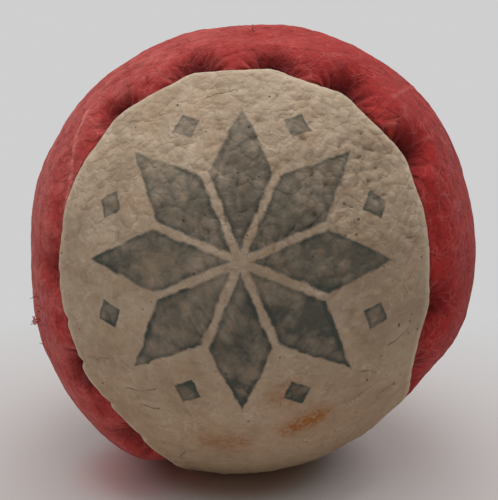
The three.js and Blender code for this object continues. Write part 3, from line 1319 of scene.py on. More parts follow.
class Finish(ABC):
    """A material's own look."""

    name: ClassVar[str]

    @abstractmethod
    def surface(self, tree: Tree) -> Socket:
        """Builds the shader and gives its output."""

    def material(self) -> bpy.types.Material:
        """Makes the material, or finds the one that was made before.

        Returns:
            The material.
        """
        found = bpy.data.materials.get(self.name)
        if found is not None:
            return found
        made = bpy.data.materials.new(self.name)
        made.use_nodes = True
        made.node_tree.nodes.clear()
        add_node(made.node_tree, "OutputMaterial", {"Surface": self.surface(made.node_tree)})
        return made

    @staticmethod
    def millimetres(tree: Tree) -> Socket:
        """Places on the piece itself, in millimetres, which move with it."""
        place = add_node(tree, "TexCoord", output="Object")
        return add_node(tree, "VectorMath", {0: place, "Scale": 1 / MM}, operation="SCALE")

    @staticmethod
    def creases(tree: Tree, place: Socket, cells: tuple[float, ...], width: float) -> Socket:
        """Draws a broken net of thin creases of several sizes.

        Args:
            tree: The material's node tree.
            place: Where on the piece.
            cells: Widths of the patches between the creases, in millimetres.
            width: Half the creases' own width, in millimetres.

        Returns:
            1 along the creases and 0 away from them.
        """
        drawn = 0.0
        # Bends and breaks are a little wider than the patches.
        for cell in cells:
            waves = {"Vector": place, "Scale": 0.9 / cell, "Detail": 1.0}
            bend = add_node(tree, "TexNoise", waves, "Color")
            strong = {0: bend, 1: (0.8 * cell,) * 3, 2: place}
            bent = add_node(tree, "VectorMath", strong, operation="MULTIPLY_ADD")
            net = {"Vector": bent, "Scale": 1 / cell}
            away = add_node(tree, "TexVoronoi", net, feature="DISTANCE_TO_EDGE")
            line = add_node(tree, "MapRange", {"Value": away, "From Min": width / cell, "From Max": 0.0})
            gate = add_node(tree, "TexNoise", {"Vector": place, "Scale": 0.6 / cell, "Detail": 2.0})
            gate = add_node(tree, "MapRange", {"Value": gate, "From Min": 0.48, "From Max": 0.66})
            line = add_node(tree, "Math", {0: line, 1: gate}, operation="MULTIPLY")
            drawn = add_node(tree, "Math", {0: drawn, 1: line}, operation="MAXIMUM")
        return drawn

    @staticmethod
    def domes(tree: Tree, place: Socket, cell: float) -> Socket:
        """Crowds small rounded lumps together, with narrow valleys between them.

        Args:
            tree: The material's node tree.
            place: Where on the piece.
            cell: Width of a lump, in millimetres.

        Returns:
            0 on top of the lumps, and more towards the valleys.
        """
        bend = add_node(tree, "TexNoise", {"Vector": place, "Scale": 0.6 / cell, "Detail": 2.0}, "Color")
        strong = {0: bend, 1: (2 * cell,) * 3, 2: place}
        bent = add_node(tree, "VectorMath", strong, operation="MULTIPLY_ADD")
        away = add_node(tree, "TexVoronoi", {"Vector": bent, "Scale": 1 / cell})
        return add_node(tree, "Math", {0: away, 1: 2.0}, operation="POWER")

    @staticmethod
    def pits(tree: Tree, place: Socket, cell: float, rarity: float, size: float) -> Socket:
        """Sets small round pits in some cells of a scatter.

        Args:
            tree: The material's node tree.
            place: Where on the piece.
            cell: The scatter's spacing, in millimetres.
            rarity: The share of cells without a pit.
            size: Radius of the largest pits, in millimetres.

        Returns:
            1 in the pits and 0 away from them.
        """
        away = add_node(tree, "TexVoronoi", {"Vector": place, "Scale": 1 / cell})
        pick = add_node(tree, "SeparateColor", {0: away.node.outputs["Color"]})
        bounds = {"Value": pick, "From Min": rarity, "To Max": size / cell}
        reach = add_node(tree, "MapRange", bounds)
        return add_node(tree, "Math", {0: away, 1: reach}, operation="LESS_THAN")


@dataclass(frozen=True)
class GrainedLeather(Finish):
    """Undyed cowhide, tanned and tumbled to raise its grain, then worn and printed in one grey ink."""

    # It is matt and warm: rubbing leaves the peaks pale, and the rim beside the seam is pale partly from
    # wear and partly as a painted highlight, beside painted shade where the leather rolls down to the seam.
    # Grain valleys, creases and pores are darker, and the bottom turns tan. Painted shade darkens the lower
    # part and the right side, so that the top stays paler. The ink stays darkest in the hollows and along
    # its own edges.
    # Pores are drawn coarser than real ones, which would be too fine to show.
    name: ClassVar[str] = "worn_grained_cowhide"
    pale: str = "#C9B49C"
    dark: str = "#A8927A"
    tan: str = "#AE8A64"
    # Painted shade: darkens the lower part and the right side, leaving the top paler.
    painted_shade_tone: str = "#85705A"
    grime: str = "#8A6A44"
    rim: str = "#D4C2AA"
    rust: str = "#94591F"
    ink: str = "#42463F"
    # Dark brown for the grain valleys and creases, also laid along the seam as painted shade.
    valley_darkening: str = "#5C4A38"
    soot: str = "#3A2A1C"
    cloud: float = 7.0
    mottle: float = 1.6
    patch: float = 3.4
    fuzz: float = 0.35
    speck: float = 0.5
    pebble: float = 1.0
    hair_cells: tuple[float, ...] = (2.6, 1.3)
    hair_width: float = 0.09
    pore_cell: float = 0.95
    pore_rarity: float = 0.5
    pore: float = 0.14
    scar_cell: float = 1.4
    scar_rarity: float = 0.6
    scar: float = 0.2

    def surface(self, tree: Tree) -> Socket:
        """Lays the hide's tones, its wear, stains and darker valleys, painted light and shade, and the
        print, over a fine bump.

        Args:
            tree: The material's node tree.

        Returns:
            The shader's output.
        """
        place = self.millimetres(tree)
        side, height = (add_node(tree, "SeparateXYZ", {0: place}, axis) for axis in "XZ")
        gap, grain, stain, pit, across, along = (
            add_node(tree, "Attribute", None, "Fac", attribute_name=mark.value)
            for mark in (Mark.GAP, Mark.GRAIN, Mark.STAIN, Mark.PIT, Mark.ACROSS_LINE, Mark.ALONG_LINE)
        )
        noise = {"Vector": place, "Detail": 4.0, "Roughness": 0.6}
        cloud, mottle, patch, fuzz, speck = (
            add_node(tree, "TexNoise", {**noise, "Scale": 1 / size})
            for size in (self.cloud, self.mottle, self.patch, self.fuzz, self.speck)
        )
        dome = self.domes(tree, place, self.pebble)
        hair = self.creases(tree, place, self.hair_cells, self.hair_width)
        pore = self.pits(tree, place, self.pore_cell, self.pore_rarity, self.pore)
        scar = self.pits(tree, place, self.scar_cell, self.scar_rarity, self.scar)
        tone = add_node(tree, "Math", {0: mottle, 1: 0.7, 2: cloud}, operation="MULTIPLY_ADD")
        beside = add_node(tree, "Math", {0: across}, operation="ABSOLUTE")
        # Noise runs from 0 to 1, and the rest is in millimetres.
        ramps = {
            "tone": Ramp(tone, 0.68, 1.02),
            "warm": Ramp(patch, 0.5, 0.72, high=0.4),
            # Painted light: darker below the top and towards the right, as if lit from above and the left.
            "middle": Ramp(height, 46.0, 26.0, high=0.32),
            "right": Ramp(side, -4.0, 13.0, high=0.25),
            # Tan towards the bottom.
            "low": Ramp(height, 24.0, 6.0, high=0.35),
            "fleck": Ramp(speck, 0.56, 0.7, high=0.3),
            # Pale rim beside the seam: partly rubbed wear, partly a painted highlight on the rolled edge.
            "rim": Ramp(gap, 1.7, 0.9, high=0.5),
            "spots": Ramp(speck, 0.26, 0.56),
            # Darker in the grain valleys and creases.
            "valley_darkening": Ramp(grain, 0.6, 0.0, high=0.3),
            "crack": Ramp(beside, 0.1, 0.0, high=0.8),
            "broken": Ramp(mottle, 0.38, 0.56, low=0.15),
            "scarred": Ramp(side, 6.0, 9.0),
            # Painted shade where the cream leather rolls down to the seam.
            "seam_shade": Ramp(gap, 0.8, 0.25, high=0.7),
        }
        share = {
            name: add_node(tree, "MapRange", dict(zip(RAMP_SOCKETS, ramp))) for name, ramp in ramps.items()
        }
        products = {
            "rubbed": (hair, 0.3),
            "rust": (stain, share["spots"], 0.9),
            "crack": (share["crack"], along, share["broken"]),
            "scar": (scar, share["scarred"]),
        }
        for name, (product, *factors) in products.items():
            for factor in factors:
                product = add_node(tree, "Math", {0: product, 1: factor}, operation="MULTIPLY")
            share[name] = product
        hole = share["crack"]
        for other in (pit, pore, share["scar"]):
            hole = add_node(tree, "Math", {0: hole, 1: other}, operation="MAXIMUM")
        share["black"] = add_node(tree, "Math", {0: hole, 1: 0.7}, operation="MULTIPLY")
        share["ink"] = self._inked(tree, mottle, patch, grain, height)
        layers = {
            "tone": self.pale,
            "warm": self.tan,
            "middle": self.painted_shade_tone,
            "right": self.painted_shade_tone,
            "low": self.tan,
            "fleck": self.grime,
            "rubbed": self.rim,
            "rim": self.rim,
            "rust": self.rust,
            "ink": self.ink,
            "valley_darkening": self.valley_darkening,
            "black": self.soot,
            "seam_shade": self.valley_darkening,
        }
        colour = linear(self.dark)
        for name, code in layers.items():
            lay = {0: share[name], 6: colour, 7: linear(code)}
            colour = add_node(tree, "Mix", lay, 2, data_type="RGBA")
        rise = 0.0
        for measure, amount in ((fuzz, 0.09), (dome, -0.2), (hair, 0.03), (hole, -0.1)):
            rise = add_node(tree, "Math", {0: measure, 1: amount, 2: rise}, operation="MULTIPLY_ADD")
        shader = {
            "Base Color": colour,
            "Roughness": add_node(tree, "MapRange", {"Value": fuzz, "To Min": 0.68, "To Max": 0.9}),
            "Normal": add_node(tree, "Bump", {"Height": rise, "Strength": 1.0, "Distance": MM}),
            "IOR": 1.45,
            "Specular IOR Level": 0.3,
        }
        return add_node(tree, "BsdfPrincipled", shader)

    def _inked(self, tree: Tree, mottle: Socket, patch: Socket, grain: Socket, height: Socket) -> Socket:
        """Tells how much worn ink is left.

        Args:
            tree: The material's node tree.
            mottle: Fine noise that makes the print's edge ragged.
            patch: Broad noise by which the ink is worn.
            grain: The leather's relief, 1 on the peaks.
            height: Height over the floor, in millimetres.

        Returns:
            0 on bare leather to 1 under full ink.
        """
        room, right, up = (
            add_node(tree, "Attribute", None, "Fac", attribute_name=mark.value)
            for mark in (Mark.PRINT, Mark.PRINT_RIGHT, Mark.PRINT_UP)
        )
        edge = StarPrint().edge(tree, right, up)
        ragged = add_node(tree, "Math", {0: mottle, 1: 0.9, 2: edge}, operation="MULTIPLY_ADD")
        ragged = add_node(tree, "Math", {0: ragged, 1: 0.45}, operation="SUBTRACT")
        kept = add_node(tree, "Math", {0: grain, 1: -0.3, 2: patch}, operation="MULTIPLY_ADD")
        kept = add_node(tree, "Math", {0: mottle, 1: 0.4, 2: kept}, operation="MULTIPLY_ADD")
        ramps = (
            Ramp(ragged, -0.1, 0.16),
            Ramp(ragged, 0.6, 0.1, high=0.25),
            Ramp(kept, 0.2, 0.6, low=0.22, high=0.88),
            # Less ink towards the top and more low down.
            Ramp(height, 20.0, 40.0, low=1.1, high=0.75),
        )
        shape, outline, left, fade = (
            add_node(tree, "MapRange", dict(zip(RAMP_SOCKETS, ramp))) for ramp in ramps
        )
        amount = add_node(tree, "Math", {0: left, 1: outline}, operation="ADD")
        for factor in (room, fade, shape):
            amount = add_node(tree, "Math", {0: amount, 1: factor}, operation="MULTIPLY")
        return amount


@dataclass(frozen=True)
class NappedSuede(Finish):
    """Red-dyed split leather, brushed to a short nap that handling has laid flat."""

    # It is dull and saturated: dye lies in clouds, ridges are rubbed pale, and the fold lines are pale
    # partly from wear and partly as a painted highlight. The left side is dusty, its dusty tone partly
    # standing in for painted light from the left, and the right side takes painted shade. The valleys
    # between the small domes and the gathers at the seam hold a deep painted shade. The nap is drawn
    # coarser than real fibres, so that it shows.
    name: ClassVar[str] = "red_dyed_suede"
    red: str = "#BA403B"
    deep: str = "#9C2C29"
    # Painted shade laid over the right side, as if the light came from the left.
    dark: str = "#961918"
    # Pale dust tone; on the left side it also stands in for painted light.
    rubbed: str = "#CB736C"
    ridge: str = "#D0746C"
    shade: str = "#561314"
    pit: str = "#6E1C1C"
    cloud: float = 6.0
    blotch: float = 2.3
    tuft: float = 0.8
    nap: float = 0.3
    wrinkle: float = 1.3
    pebble: float = 0.6
    cut_cells: tuple[float, ...] = (3.7, 1.9, 1.0)
    hair_cells: tuple[float, ...] = (3.1, 1.7, 1.1)
    crease_width: float = 0.1
    pit_cell: float = 0.75
    pit_rarity: float = 0.35
    pit_size: float = 0.13
    fold_rate: float = 4.2
    fold_stretch: float = 0.3
    fold_full: float = 1.4
    fold_reach: float = 3.9

    def surface(self, tree: Tree) -> Socket:
        """Lays the dye, its clouds, rubbed ridges, dusty patches and painted light, with painted shade at
        the seam.

        Args:
            tree: The material's node tree.

        Returns:
            The shader's output.
        """
        place = self.millimetres(tree)
        side = add_node(tree, "SeparateXYZ", {0: place}, "X")
        gap, valley, crease, across, along = (
            add_node(tree, "Attribute", None, "Fac", attribute_name=mark.value)
            for mark in (Mark.GAP, Mark.VALLEY, Mark.GRAIN, Mark.ACROSS_LINE, Mark.ALONG_LINE)
        )
        noise = {"Vector": place, "Detail": 4.0, "Roughness": 0.6}
        cloud, blotch, tuft, nap = (
            add_node(tree, "TexNoise", {**noise, "Scale": 1 / size})
            for size in (self.cloud, self.blotch, self.tuft, self.nap)
        )
        wrinkle, pebble = (self.domes(tree, place, cell) for cell in (self.wrinkle, self.pebble))
        cut = self.creases(tree, place, self.cut_cells, self.crease_width)
        hair = self.creases(tree, place, self.hair_cells, self.crease_width)
        pits = self.pits(tree, place, self.pit_cell, self.pit_rarity, self.pit_size)
        gathers = self._folds(tree)
        tone = add_node(tree, "Math", {0: tuft, 1: 0.6, 2: cloud}, operation="MULTIPLY_ADD")
        tone = add_node(tree, "Math", {0: nap, 1: 0.5, 2: tone}, operation="MULTIPLY_ADD")
        dusty = add_node(tree, "Math", {0: nap, 1: 0.6, 2: tuft}, operation="MULTIPLY_ADD")
        dusty = add_node(tree, "Math", {0: wrinkle, 1: -0.2, 2: dusty}, operation="MULTIPLY_ADD")
        dusty = add_node(tree, "Math", {0: cloud, 1: 1.2, 2: dusty}, operation="MULTIPLY_ADD")
        beside = add_node(tree, "Math", {0: across}, operation="ABSOLUTE")
        # Noise and valleys run from 0 to 1, and the rest is in millimetres.
        ramps = {
            "tone": Ramp(tone, 0.83, 1.27),
            # Painted shade: the right side is darkened as if lit from the left.
            "right": Ramp(side, -6.0, 18.0, high=0.55),
            "left": Ramp(side, 8.0, -20.0, low=0.02),
            "away": Ramp(gap, 1.5, 6.0, low=0.15),
            "dust_and_left_light": Ramp(dusty, 0.95, 1.8, high=0.6),
            "smear": Ramp(blotch, 0.49, 0.66, high=0.42),
            "stained": Ramp(blotch, 0.49, 0.33, high=0.5),
            # Painted shade in the valleys between the small domes.
            "worn": Ramp(wrinkle, 0.2, 0.6, high=0.2),
            "band": Ramp(beside, 1.4, 0.3, high=0.3),
            # Pale fold lines on the left: partly rubbed wear, partly a painted highlight.
            "fold": Ramp(beside, 0.3, 0.08),
            "broken": Ramp(tuft, 0.3, 0.5),
            "crease": Ramp(crease, 0.8, 0.0, high=0.35),
            "dip": Ramp(valley, 0.1, 0.7, high=0.88),
            "low": Ramp(gap, 0.9, 0.2, high=0.5),
        }
        share = {
            name: add_node(tree, "MapRange", dict(zip(RAMP_SOCKETS, ramp))) for name, ramp in ramps.items()
        }
        bold = Ramp(share["left"], 0.0, 0.6, low=0.25)
        bold = add_node(tree, "MapRange", dict(zip(RAMP_SOCKETS, bold)))
        products = {
            # Weighted to the left side: partly real dust and partly painted light from the left.
            "dust_and_left_light": (share["dust_and_left_light"], share["away"], share["left"]),
            "smear": (share["smear"], share["left"]),
            "stained": (share["stained"], share["left"]),
            "band": (share["band"], along, share["left"]),
            "fold": (share["fold"], along, share["broken"], bold),
            "cut": (cut, 0.5),
            "pale": (hair, 0.38),
            "specks": (pits, 0.5),
            "gathers": (gathers, 0.55),
        }
        for name, (product, *factors) in products.items():
            for factor in factors:
                product = add_node(tree, "Math", {0: product, 1: factor}, operation="MULTIPLY")
            share[name] = product
        share["smear"] = add_node(tree, "Math", {0: share["smear"], 1: share["band"]}, operation="MAXIMUM")
        ridge = add_node(tree, "Math", {0: hair, 1: share["fold"]}, operation="MAXIMUM")
        # The fold lines' pale tone is partly a painted highlight.
        pale = {0: share["fold"], 1: 0.9, 2: share["pale"]}
        share["pale"] = add_node(tree, "Math", pale, operation="MULTIPLY_ADD")
        layers = {
            "tone": self.red,
            "right": self.dark,
            "dust_and_left_light": self.rubbed,
            "smear": self.rubbed,
            "stained": self.deep,
            # Painted shade in the dome valleys.
            "worn": self.pit,
            "cut": self.pit,
            "pale": self.ridge,
            "specks": self.pit,
            "crease": self.shade,
            "gathers": self.shade,
            "dip": self.shade,
            "low": self.shade,
        }
        colour = linear(self.deep)
        for name, code in layers.items():
            lay = {0: share[name], 6: colour, 7: linear(code)}
            colour = add_node(tree, "Mix", lay, 2, data_type="RGBA")
        rise = 0.0
        bumps = (
            (nap, 0.05),
            (wrinkle, -0.13),
            (pebble, -0.05),
            (ridge, 0.04),
            (cut, -0.05),
            (pits, -0.1),
            (gathers, -0.24),
        )
        for measure, amount in bumps:
            rise = add_node(tree, "Math", {0: measure, 1: amount, 2: rise}, operation="MULTIPLY_ADD")
        shader = {
            "Base Color": colour,
            "Roughness": 0.9,
            "Normal": add_node(tree, "Bump", {"Height": rise, "Strength": 1.0, "Distance": MM}),
            "IOR": 1.45,
            "Specular IOR Level": 0.18,
            "Sheen Weight": 0.06,
            "Sheen Roughness": 0.5,
        }
        return add_node(tree, "BsdfPrincipled", shader)

    def _folds(self, tree: Tree) -> Socket:
        """Draws the finest folds of the fans, which are too narrow for the mesh.

        Args:
            tree: The material's node tree.

        Returns:
            1 along the folds and 0 between them.
        """
        turn, reach = (
            add_node(tree, "Attribute", None, "Fac", attribute_name=mark.value)
            for mark in (Mark.FAN_TURN, Mark.FAN_REACH)
        )
        spot = add_node(tree, "CombineXYZ", {"X": turn, "Y": reach})
        spread = (self.fold_rate, self.fold_stretch, 0.0)
        spot = add_node(tree, "VectorMath", {0: spot, 1: spread}, operation="MULTIPLY")
        waves = add_node(tree, "TexNoise", {"Vector": spot, "Scale": 1.0, "Detail": 1.0})
        folds = add_node(tree, "MapRange", {"Value": waves, "From Min": 0.52, "From Max": 0.36})
        bounds = {"Value": reach, "From Min": self.fold_reach, "From Max": self.fold_full}
        fade = add_node(tree, "MapRange", bounds, interpolation_type="SMOOTHSTEP")
        return add_node(tree, "Math", {0: folds, 1: fade}, operation="MULTIPLY")


@dataclass(frozen=True)
class WaxedThread(Finish):
    """Linen thread, twisted from strands and drawn through wax."""

    # It is ivory with a dull shine, with painted shade in the slanting hollows between strands, which are
    # drawn coarser than real ones so that they show.
    name: ClassVar[str] = "waxed_linen_thread"
    ivory: str = "#CFC4AC"
    # Painted shade in the hollows between strands.
    hollow: str = "#94876C"
    strand: float = 0.3

    def surface(self, tree: Tree) -> Socket:
        """Draws the twist as slanting bands.

        Args:
            tree: The material's node tree.

        Returns:
            The shader's output.
        """
        waves = {"Vector": self.millimetres(tree), "Scale": 1 / self.strand}
        waves |= {"Distortion": 2.0, "Detail": 2.0}
        bands = add_node(tree, "TexWave", waves, "Fac", bands_direction="DIAGONAL")
        strands = {0: bands, 6: linear(self.hollow), 7: linear(self.ivory)}
        shader = {
            "Base Color": add_node(tree, "Mix", strands, 2, data_type="RGBA"),
            "Roughness": 0.45,
            "Normal": add_node(tree, "Bump", {"Height": bands, "Strength": 0.6, "Distance": 0.08 * MM}),
            "IOR": 1.44,
        }
        return add_node(tree, "BsdfPrincipled", shader)


@dataclass(frozen=True)
class PelletPlastic(Finish):
    """Natural polyethylene, extruded and cut warm into lens-shaped pellets."""

    # It is milky and waxy, a little cloudy and uneven where it was cut.
    name: ClassVar[str] = "natural_polyethylene"
    milk: str = "#DEDDD6"
    cloudy: str = "#C6C4BA"
    lump: float = 1.8

    def surface(self, tree: Tree) -> Socket:
        """Clouds the plastic and dents its skin.

        Args:
            tree: The material's node tree.

        Returns:
            The shader's output.
        """
        lumps = {"Vector": self.millimetres(tree), "Scale": 1 / self.lump, "Detail": 2.0}
        cloud = add_node(tree, "TexNoise", lumps)
        tones = {0: cloud, 6: linear(self.cloudy), 7: linear(self.milk)}
        shader = {
            "Base Color": add_node(tree, "Mix", tones, 2, data_type="RGBA"),
            "Roughness": 0.38,
            "Normal": add_node(tree, "Bump", {"Height": cloud, "Strength": 0.3, "Distance": 0.1 * MM}),
            "IOR": 1.51,
        }
        return add_node(tree, "BsdfPrincipled", shader)


@dataclass(frozen=True)
class DyedFibre(Finish):
    """A loose fibre of dyed leather, teased out of the suede by rubbing."""

    # It is red, and paler in patches where the dye has rubbed off.
    name: ClassVar[str] = "dyed_leather_fibre"
    red: str = "#A8322F"
    pale: str = "#C46A62"
    patch: float = 0.4

    def surface(self, tree: Tree) -> Socket:
        """Mottles the fibre.

        Args:
            tree: The material's node tree.

        Returns:
            The shader's output.
        """
        mottle = add_node(tree, "TexNoise", {"Vector": self.millimetres(tree), "Scale": 1 / self.patch})
        tones = {0: mottle, 6: linear(self.red), 7: linear(self.pale)}
        colour = add_node(tree, "Mix", tones, 2, data_type="RGBA")
        return add_node(tree, "BsdfPrincipled", {"Base Color": colour, "Roughness": 0.85, "IOR": 1.45})


class Glow(NamedTuple):
    """Light that a room throws back on a card: its tone, where it sets in and is full, and its share."""

    tone: str
    near: float
    far: float
    share: float


@dataclass(frozen=True)
class StudioCard(Finish):
    """Pale uncoated card, pressed matt."""

    # It takes soft light and shadow near the bag, a painted warm reflection of the bag under it and a
    # painted red reflection of the lobe beside it, and fades into the backdrop's even tone further off.
    name: ClassVar[str] = "pale_matt_card"
    card: str = "#DAD6D5"
    middle: tuple[float, float, float] = (-1.8, -3.5, 0.0)
    # Painted warm reflection of the bag on the card under it.
    warm: str = "#BD9E8C"
    warm_reflection_reach: tuple[float, float] = (7.3, 12.3)
    # Painted red reflection of the lobe on the card beside it, which also tints the glows.
    red_reflection: str = "#FFDADA"
    red_reflection_middle: tuple[float, float, float] = (-12.0, -6.6, 0.0)
    red_reflection_reach: tuple[float, float] = (3.0, 11.0)
    glows: tuple[Glow, ...] = (Glow("#AEA6A3", 9.3, 19.5, 0.52), Glow("#CFCFCF", 24.0, 85.0, 1.0))

    def surface(self, tree: Tree) -> Socket:
        """Fades the lit card into the backdrop's tone for what looks at it.

        Args:
            tree: The material's node tree.

        Returns:
            The shader's output.
        """
        spot = self.millimetres(tree)
        looked = Studio.looked_at(tree)
        away, aside = (
            add_node(tree, "VectorMath", {0: spot, 1: middle}, "Value", operation="DISTANCE")
            for middle in (self.middle, self.red_reflection_middle)
        )
        shares = []
        for distance, (inner, outer) in ((away, self.warm_reflection_reach), (aside, self.red_reflection_reach)):
            bounds = {"Value": distance, "From Min": outer, "From Max": inner}
            reflected = add_node(tree, "MapRange", bounds, interpolation_type="SMOOTHSTEP")
            shares.append(add_node(tree, "Math", {0: reflected, 1: looked}, operation="MULTIPLY"))
        reflected, red_reflected = shares
        red_reflection = {0: red_reflected, 7: linear(self.red_reflection)}
        tones = {0: reflected, 6: linear(self.card), 7: linear(self.warm)}
        tone = add_node(tree, "Mix", tones, 2, data_type="RGBA")
        tone = add_node(tree, "Mix", {**red_reflection, 6: tone}, 2, data_type="RGBA", blend_type="MULTIPLY")
        matt = {"Base Color": tone, "Roughness": 0.9, "Specular IOR Level": 0.2}
        seen = add_node(tree, "BsdfPrincipled", matt)
        for glow in self.glows:
            bounds = {"Value": away, "From Min": glow.near, "From Max": glow.far, "To Max": glow.share}
            fade = add_node(tree, "MapRange", bounds, interpolation_type="SMOOTHSTEP")
            share = add_node(tree, "Math", {0: fade, 1: looked}, operation="MULTIPLY")
            tone = {**red_reflection, 6: linear(glow.tone)}
            tone = add_node(tree, "Mix", tone, 2, data_type="RGBA", blend_type="MULTIPLY")
            light = add_node(tree, "Emission", {"Color": tone})
            seen = add_node(tree, "MixShader", {0: share, 1: seen, 2: light})
        return seen


@dataclass
class NapFibres:
    """Loose red fibres that stand off the suede where it is rubbed.

    Each tuft has its place in the picture, a number of fibres and their length in millimetres.
    """

    form: BagForm
    view: PhotoView
    tufts: tuple[tuple[float, float, int, float], ...] = (
        (35, 297, 3, 0.5),
        (37, 309, 4, 0.5),
        (37, 320, 9, 1.5),
        (45, 343, 7, 0.6),
        (253, 27, 6, 0.35),
    )
    scatter: Pixel = (1.2, 1.5)
    root_depth: float = 0.4
    lengths: tuple[float, float] = (0.6, 1.2)
    thickness: float = 0.12
    taper: float = 0.4
    lean: float = 0.4
    curl: float = 0.75
    sides: int = 5
    steps: int = 9
    seed: int = 5

    def build(self) -> bpy.types.Object:
        """Makes every fibre as a thin curly tube that tapers to its tip.

        Returns:
            The fibres as one piece.
        """
        random = np.random.default_rng(self.seed)
        points: list[np.ndarray] = []
        faces: list[list[int]] = []
        for x, y, count, length in self.tufts:
            for _ in range(count):
                pixel = np.array([x, y]) + random.normal(scale=self.scatter)
                root = self.view.pattern(pixel[None])
                heading = unit(self.form.turned(root)[0] + random.normal(scale=self.lean, size=3))
                spine = [self.form.points(root, np.array([-self.root_depth]))[0]]
                stride = (self.root_depth + length * random.uniform(*self.lengths)) / (self.steps - 1)
                for _ in range(self.steps - 1):
                    spine.append(spine[-1] + stride * heading)
                    heading = unit(heading + random.normal(scale=self.curl, size=3))
                self._tube(np.array(spine), points, faces)
        fibres = link_mesh("nap_fibres", np.concatenate(points), faces)
        fibres.data.shade_smooth()
        fibres.data.materials.append(DyedFibre().material())
        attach(fibres, BAG)
        return fibres

    def _tube(self, spine: np.ndarray, points: list[np.ndarray], faces: list[list[int]]) -> None:
        """Adds one fibre.

        Args:
            spine: Points along its middle.
            points: Rows of points so far, which grow by one fibre's.
            faces: Faces so far, which grow likewise.
        """
        first = sum(len(rows) for rows in points)
        ways = unit(np.gradient(spine, axis=0))
        # Any way will do that no fibre runs along.
        aside = unit(np.cross(ways, [0.3, 0.5, 0.8]))
        across = np.cross(ways, aside)
        thick = self.thickness / 2 * np.linspace(1, self.taper, self.steps)
        for middle, a, b, radius in zip(spine, aside, across, thick):
            turns = 2 * math.pi * np.arange(self.sides)[:, None] / self.sides
            points.append(middle + radius * (np.cos(turns) * a + np.sin(turns) * b))
        for step in range(self.steps - 1):
            for corner in range(self.sides):
                a = first + step * self.sides + corner
                b = first + step * self.sides + (corner + 1) % self.sides
                faces.append([a, b, b + self.sides, a + self.sides])
        tip = first + (self.steps - 1) * self.sides
        faces.append([first + corner for corner in reversed(range(self.sides))])
        faces.append([tip + corner for corner in range(self.sides)])


@dataclass
class Filling:
    """The pellets and the thread: settled pellets one by one, and the frame's own solids for the rest."""

    form: BagForm
    pellet_diameter: float = 4.0
    pellet_height: float = 3.0
    pitch: float = 4.1
    sides: int = 10
    steps: int = 6
    seed: int = 3
    threads: tuple[str, ...] = ("seam_thread", "closing_thread")
    bulk: str = "pellet_fill"

    def dress(self) -> list[bpy.types.Object]:
        """Gives the frame's thread and loose pellets their materials.

        Returns:
            The solids that were dressed.
        """
        loose = [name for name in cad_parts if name.startswith("pellet_") and name != self.bulk]
        dressed = []
        for names, finish in ((self.threads, WaxedThread()), (loose, PelletPlastic())):
            for name in names:
                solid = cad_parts[name]
                solid.data.materials.clear()
                solid.data.materials.append(finish.material())
                dressed.append(solid)
        return dressed

    def _places(self) -> np.ndarray:
        """Packs balls as wide as a pellet, closest packed, into the space of the settled bulk.

        Returns:
            Their middles in the frame, in millimetres.
        """
        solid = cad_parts[self.bulk].data
        walls = BVHTree.FromPolygons(
            [point.co / MM for point in solid.vertices], [list(face.vertices) for face in solid.polygons]
        )
        count = math.ceil(self.form.radius / self.pitch) + 2
        rows = np.arange(-count, count + 1)
        k, j, i = (grid.ravel() for grid in np.meshgrid(rows, rows, rows, indexing="ij"))
        x = i + 0.5 * np.mod(j + k, 2)
        y = math.sqrt(3) / 2 * (j + np.mod(k, 2) / 3)
        z = math.sqrt(2 / 3) * k
        lattice = self.pitch * np.stack([x, y, z], axis=-1) + np.array([0, 0, self.form.centre_height])
        kept = []
        for place in map(Vector, lattice):
            # A place inside lies under an odd number of walls.
            up = place
            crossed = -1
            while up is not None:
                crossed += 1
                up = walls.ray_cast(up + Vector((0, 0, 1e-4)), Vector((0, 0, 1)))[0]
            if crossed % 2 and walls.find_nearest(place)[3] > self.pellet_diameter / 2:
                kept.append(place)
        return np.array(kept)

    def build(self) -> bpy.types.Object:
        """Makes the settled pellets, each turned its own way, in the place of the bulk.

        Returns:
            The pellets as one piece.
        """
        random = np.random.default_rng(self.seed)
        rises = np.linspace(-math.pi / 2, math.pi / 2, self.steps + 1)[1:-1]
        turns = 2 * math.pi * np.arange(self.sides) / self.sides
        half = np.array([self.pellet_diameter, self.pellet_diameter, self.pellet_height]) / 2
        ball = []
        for rise in rises:
            wide = math.cos(rise)
            ball += [(wide * math.cos(turn), wide * math.sin(turn), math.sin(rise)) for turn in turns]
        lens = np.array(ball + [(0, 0, -1), (0, 0, 1)]) * half
        count = len(lens)
        faces = []
        for corner in range(self.sides):
            after = (corner + 1) % self.sides
            for step in range(self.steps - 2):
                low, high = step * self.sides, (step + 1) * self.sides
                faces.append([low + corner, low + after, high + after, high + corner])
            top = (self.steps - 2) * self.sides
            faces += [[count - 2, after, corner], [count - 1, top + corner, top + after]]
        points, joined = [], []
        for number, place in enumerate(self._places()):
            turn = np.array(Vector(random.normal(size=3)).to_track_quat("Z", "Y").to_matrix())
            points.append(lens @ turn.T + place)
            joined += [[number * count + corner for corner in face] for face in faces]
        pellets = link_mesh("settled_pellets", np.concatenate(points), joined)
        pellets.data.shade_smooth()
        pellets.data.materials.append(PelletPlastic().material())
        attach(pellets, BAG)
        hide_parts(self.bulk)
        return pellets


class Lamp(NamedTuple):
    """A square softbox that faces the bag: its place and size in metres, and its power in watts."""

    name: str
    place: tuple[float, float, float]
    size: float
    power: float


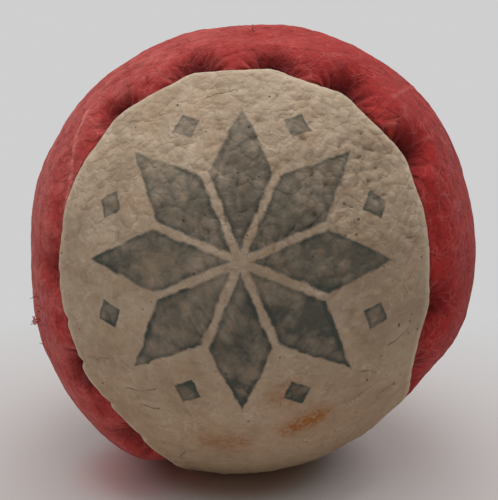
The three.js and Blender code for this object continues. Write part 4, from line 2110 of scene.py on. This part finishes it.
@dataclass(frozen=True)
class Studio:
    """A pale floor that fades into a plain backdrop, under a soft overhead light."""

    floor_size: float = 4.0
    backdrop: str = "#CFCFCF"
    ambient: float = 0.23
    aim: tuple[float, float, float] = (0.0, 0.0, 0.025)
    lamps: tuple[Lamp, ...] = (
        Lamp("overhead_softbox", (0.02, -0.02, 0.45), 0.38, 1.84),
        Lamp("left_fill", (-0.45, -0.05, 0.18), 0.30, 0.24),
        Lamp("front_fill", (0.0, -0.50, 0.30), 0.35, 0.05),
    )

    @staticmethod
    def looked_at(tree: Tree) -> Socket:
        """Tells rays that look at the backdrop, directly or in a reflection, from those that light the bag.

        Args:
            tree: The material's or world's node tree.

        Returns:
            1 for a ray that looks and 0 for one that lights.
        """
        seen = add_node(tree, "LightPath", output="Is Camera Ray")
        kinds = seen.node.outputs
        for kind in ("Is Glossy Ray", "Is Transmission Ray"):
            seen = add_node(tree, "Math", {0: seen, 1: kinds[kind]}, operation="MAXIMUM")
        return seen

    def build(self) -> None:
        """Makes the floor, the world and the lamps."""
        half = self.floor_size / MM / 2
        corners = np.array([(-half, -half, 0), (half, -half, 0), (half, half, 0), (-half, half, 0)])
        floor = link_mesh("floor", corners, [[0, 1, 2, 3]])
        floor.data.materials.append(StudioCard().material())
        floor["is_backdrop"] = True
        self._world()
        for lamp in self.lamps:
            data = bpy.data.lights.new(lamp.name, "AREA")
            data.shape = "SQUARE"
            data.size = lamp.size
            data.energy = lamp.power
            box = bpy.data.objects.new(lamp.name, data)
            box.location = lamp.place
            box.rotation_euler = (Vector(self.aim) - Vector(lamp.place)).to_track_quat("-Z", "Y").to_euler()
            bpy.context.scene.collection.objects.link(box)
        bpy.context.scene.view_settings.view_transform = "Standard"

    def _world(self) -> None:
        """Sets an even ambient light behind the backdrop's tone."""
        world = bpy.data.worlds.new("studio")
        world.use_nodes = True
        tree = world.node_tree
        tree.nodes.clear()
        light = add_node(tree, "Background", {"Color": (1, 1, 1, 1), "Strength": self.ambient})
        tone = add_node(tree, "Background", {"Color": linear(self.backdrop)})
        mixed = add_node(tree, "MixShader", {0: self.looked_at(tree), 1: light, 2: tone})
        add_node(tree, "OutputWorld", {"Surface": mixed})
        bpy.context.scene.world = world


def main() -> None:
    """Builds the studio, the camera and the bag's pieces."""
    logging.basicConfig(level=logging.INFO, format="%(name)s: %(message)s")
    form = BagForm()
    view = PhotoView(form)
    puckers = Puckers(form, view)
    Studio().build()
    view.camera()
    filling = Filling(form)
    panels = CreamPanel(form, view, puckers), RedPanel(form, view, puckers)
    for maker in (*panels, NapFibres(form, view), filling):
        piece = maker.build()
        LOG.info("%s: %d faces in %s", piece.name, len(piece.data.polygons), piece.data.materials[0].name)
    for solid in filling.dress():
        LOG.info("%s: the frame's own solid in %s", solid.name, solid.data.materials[0].name)
    boxes = {"cad": CAD_BOX, "visual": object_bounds()}
    sizes = {name: [list(corner) for corner in box] for name, box in boxes.items()}


if __name__ == "__main__":
    main()
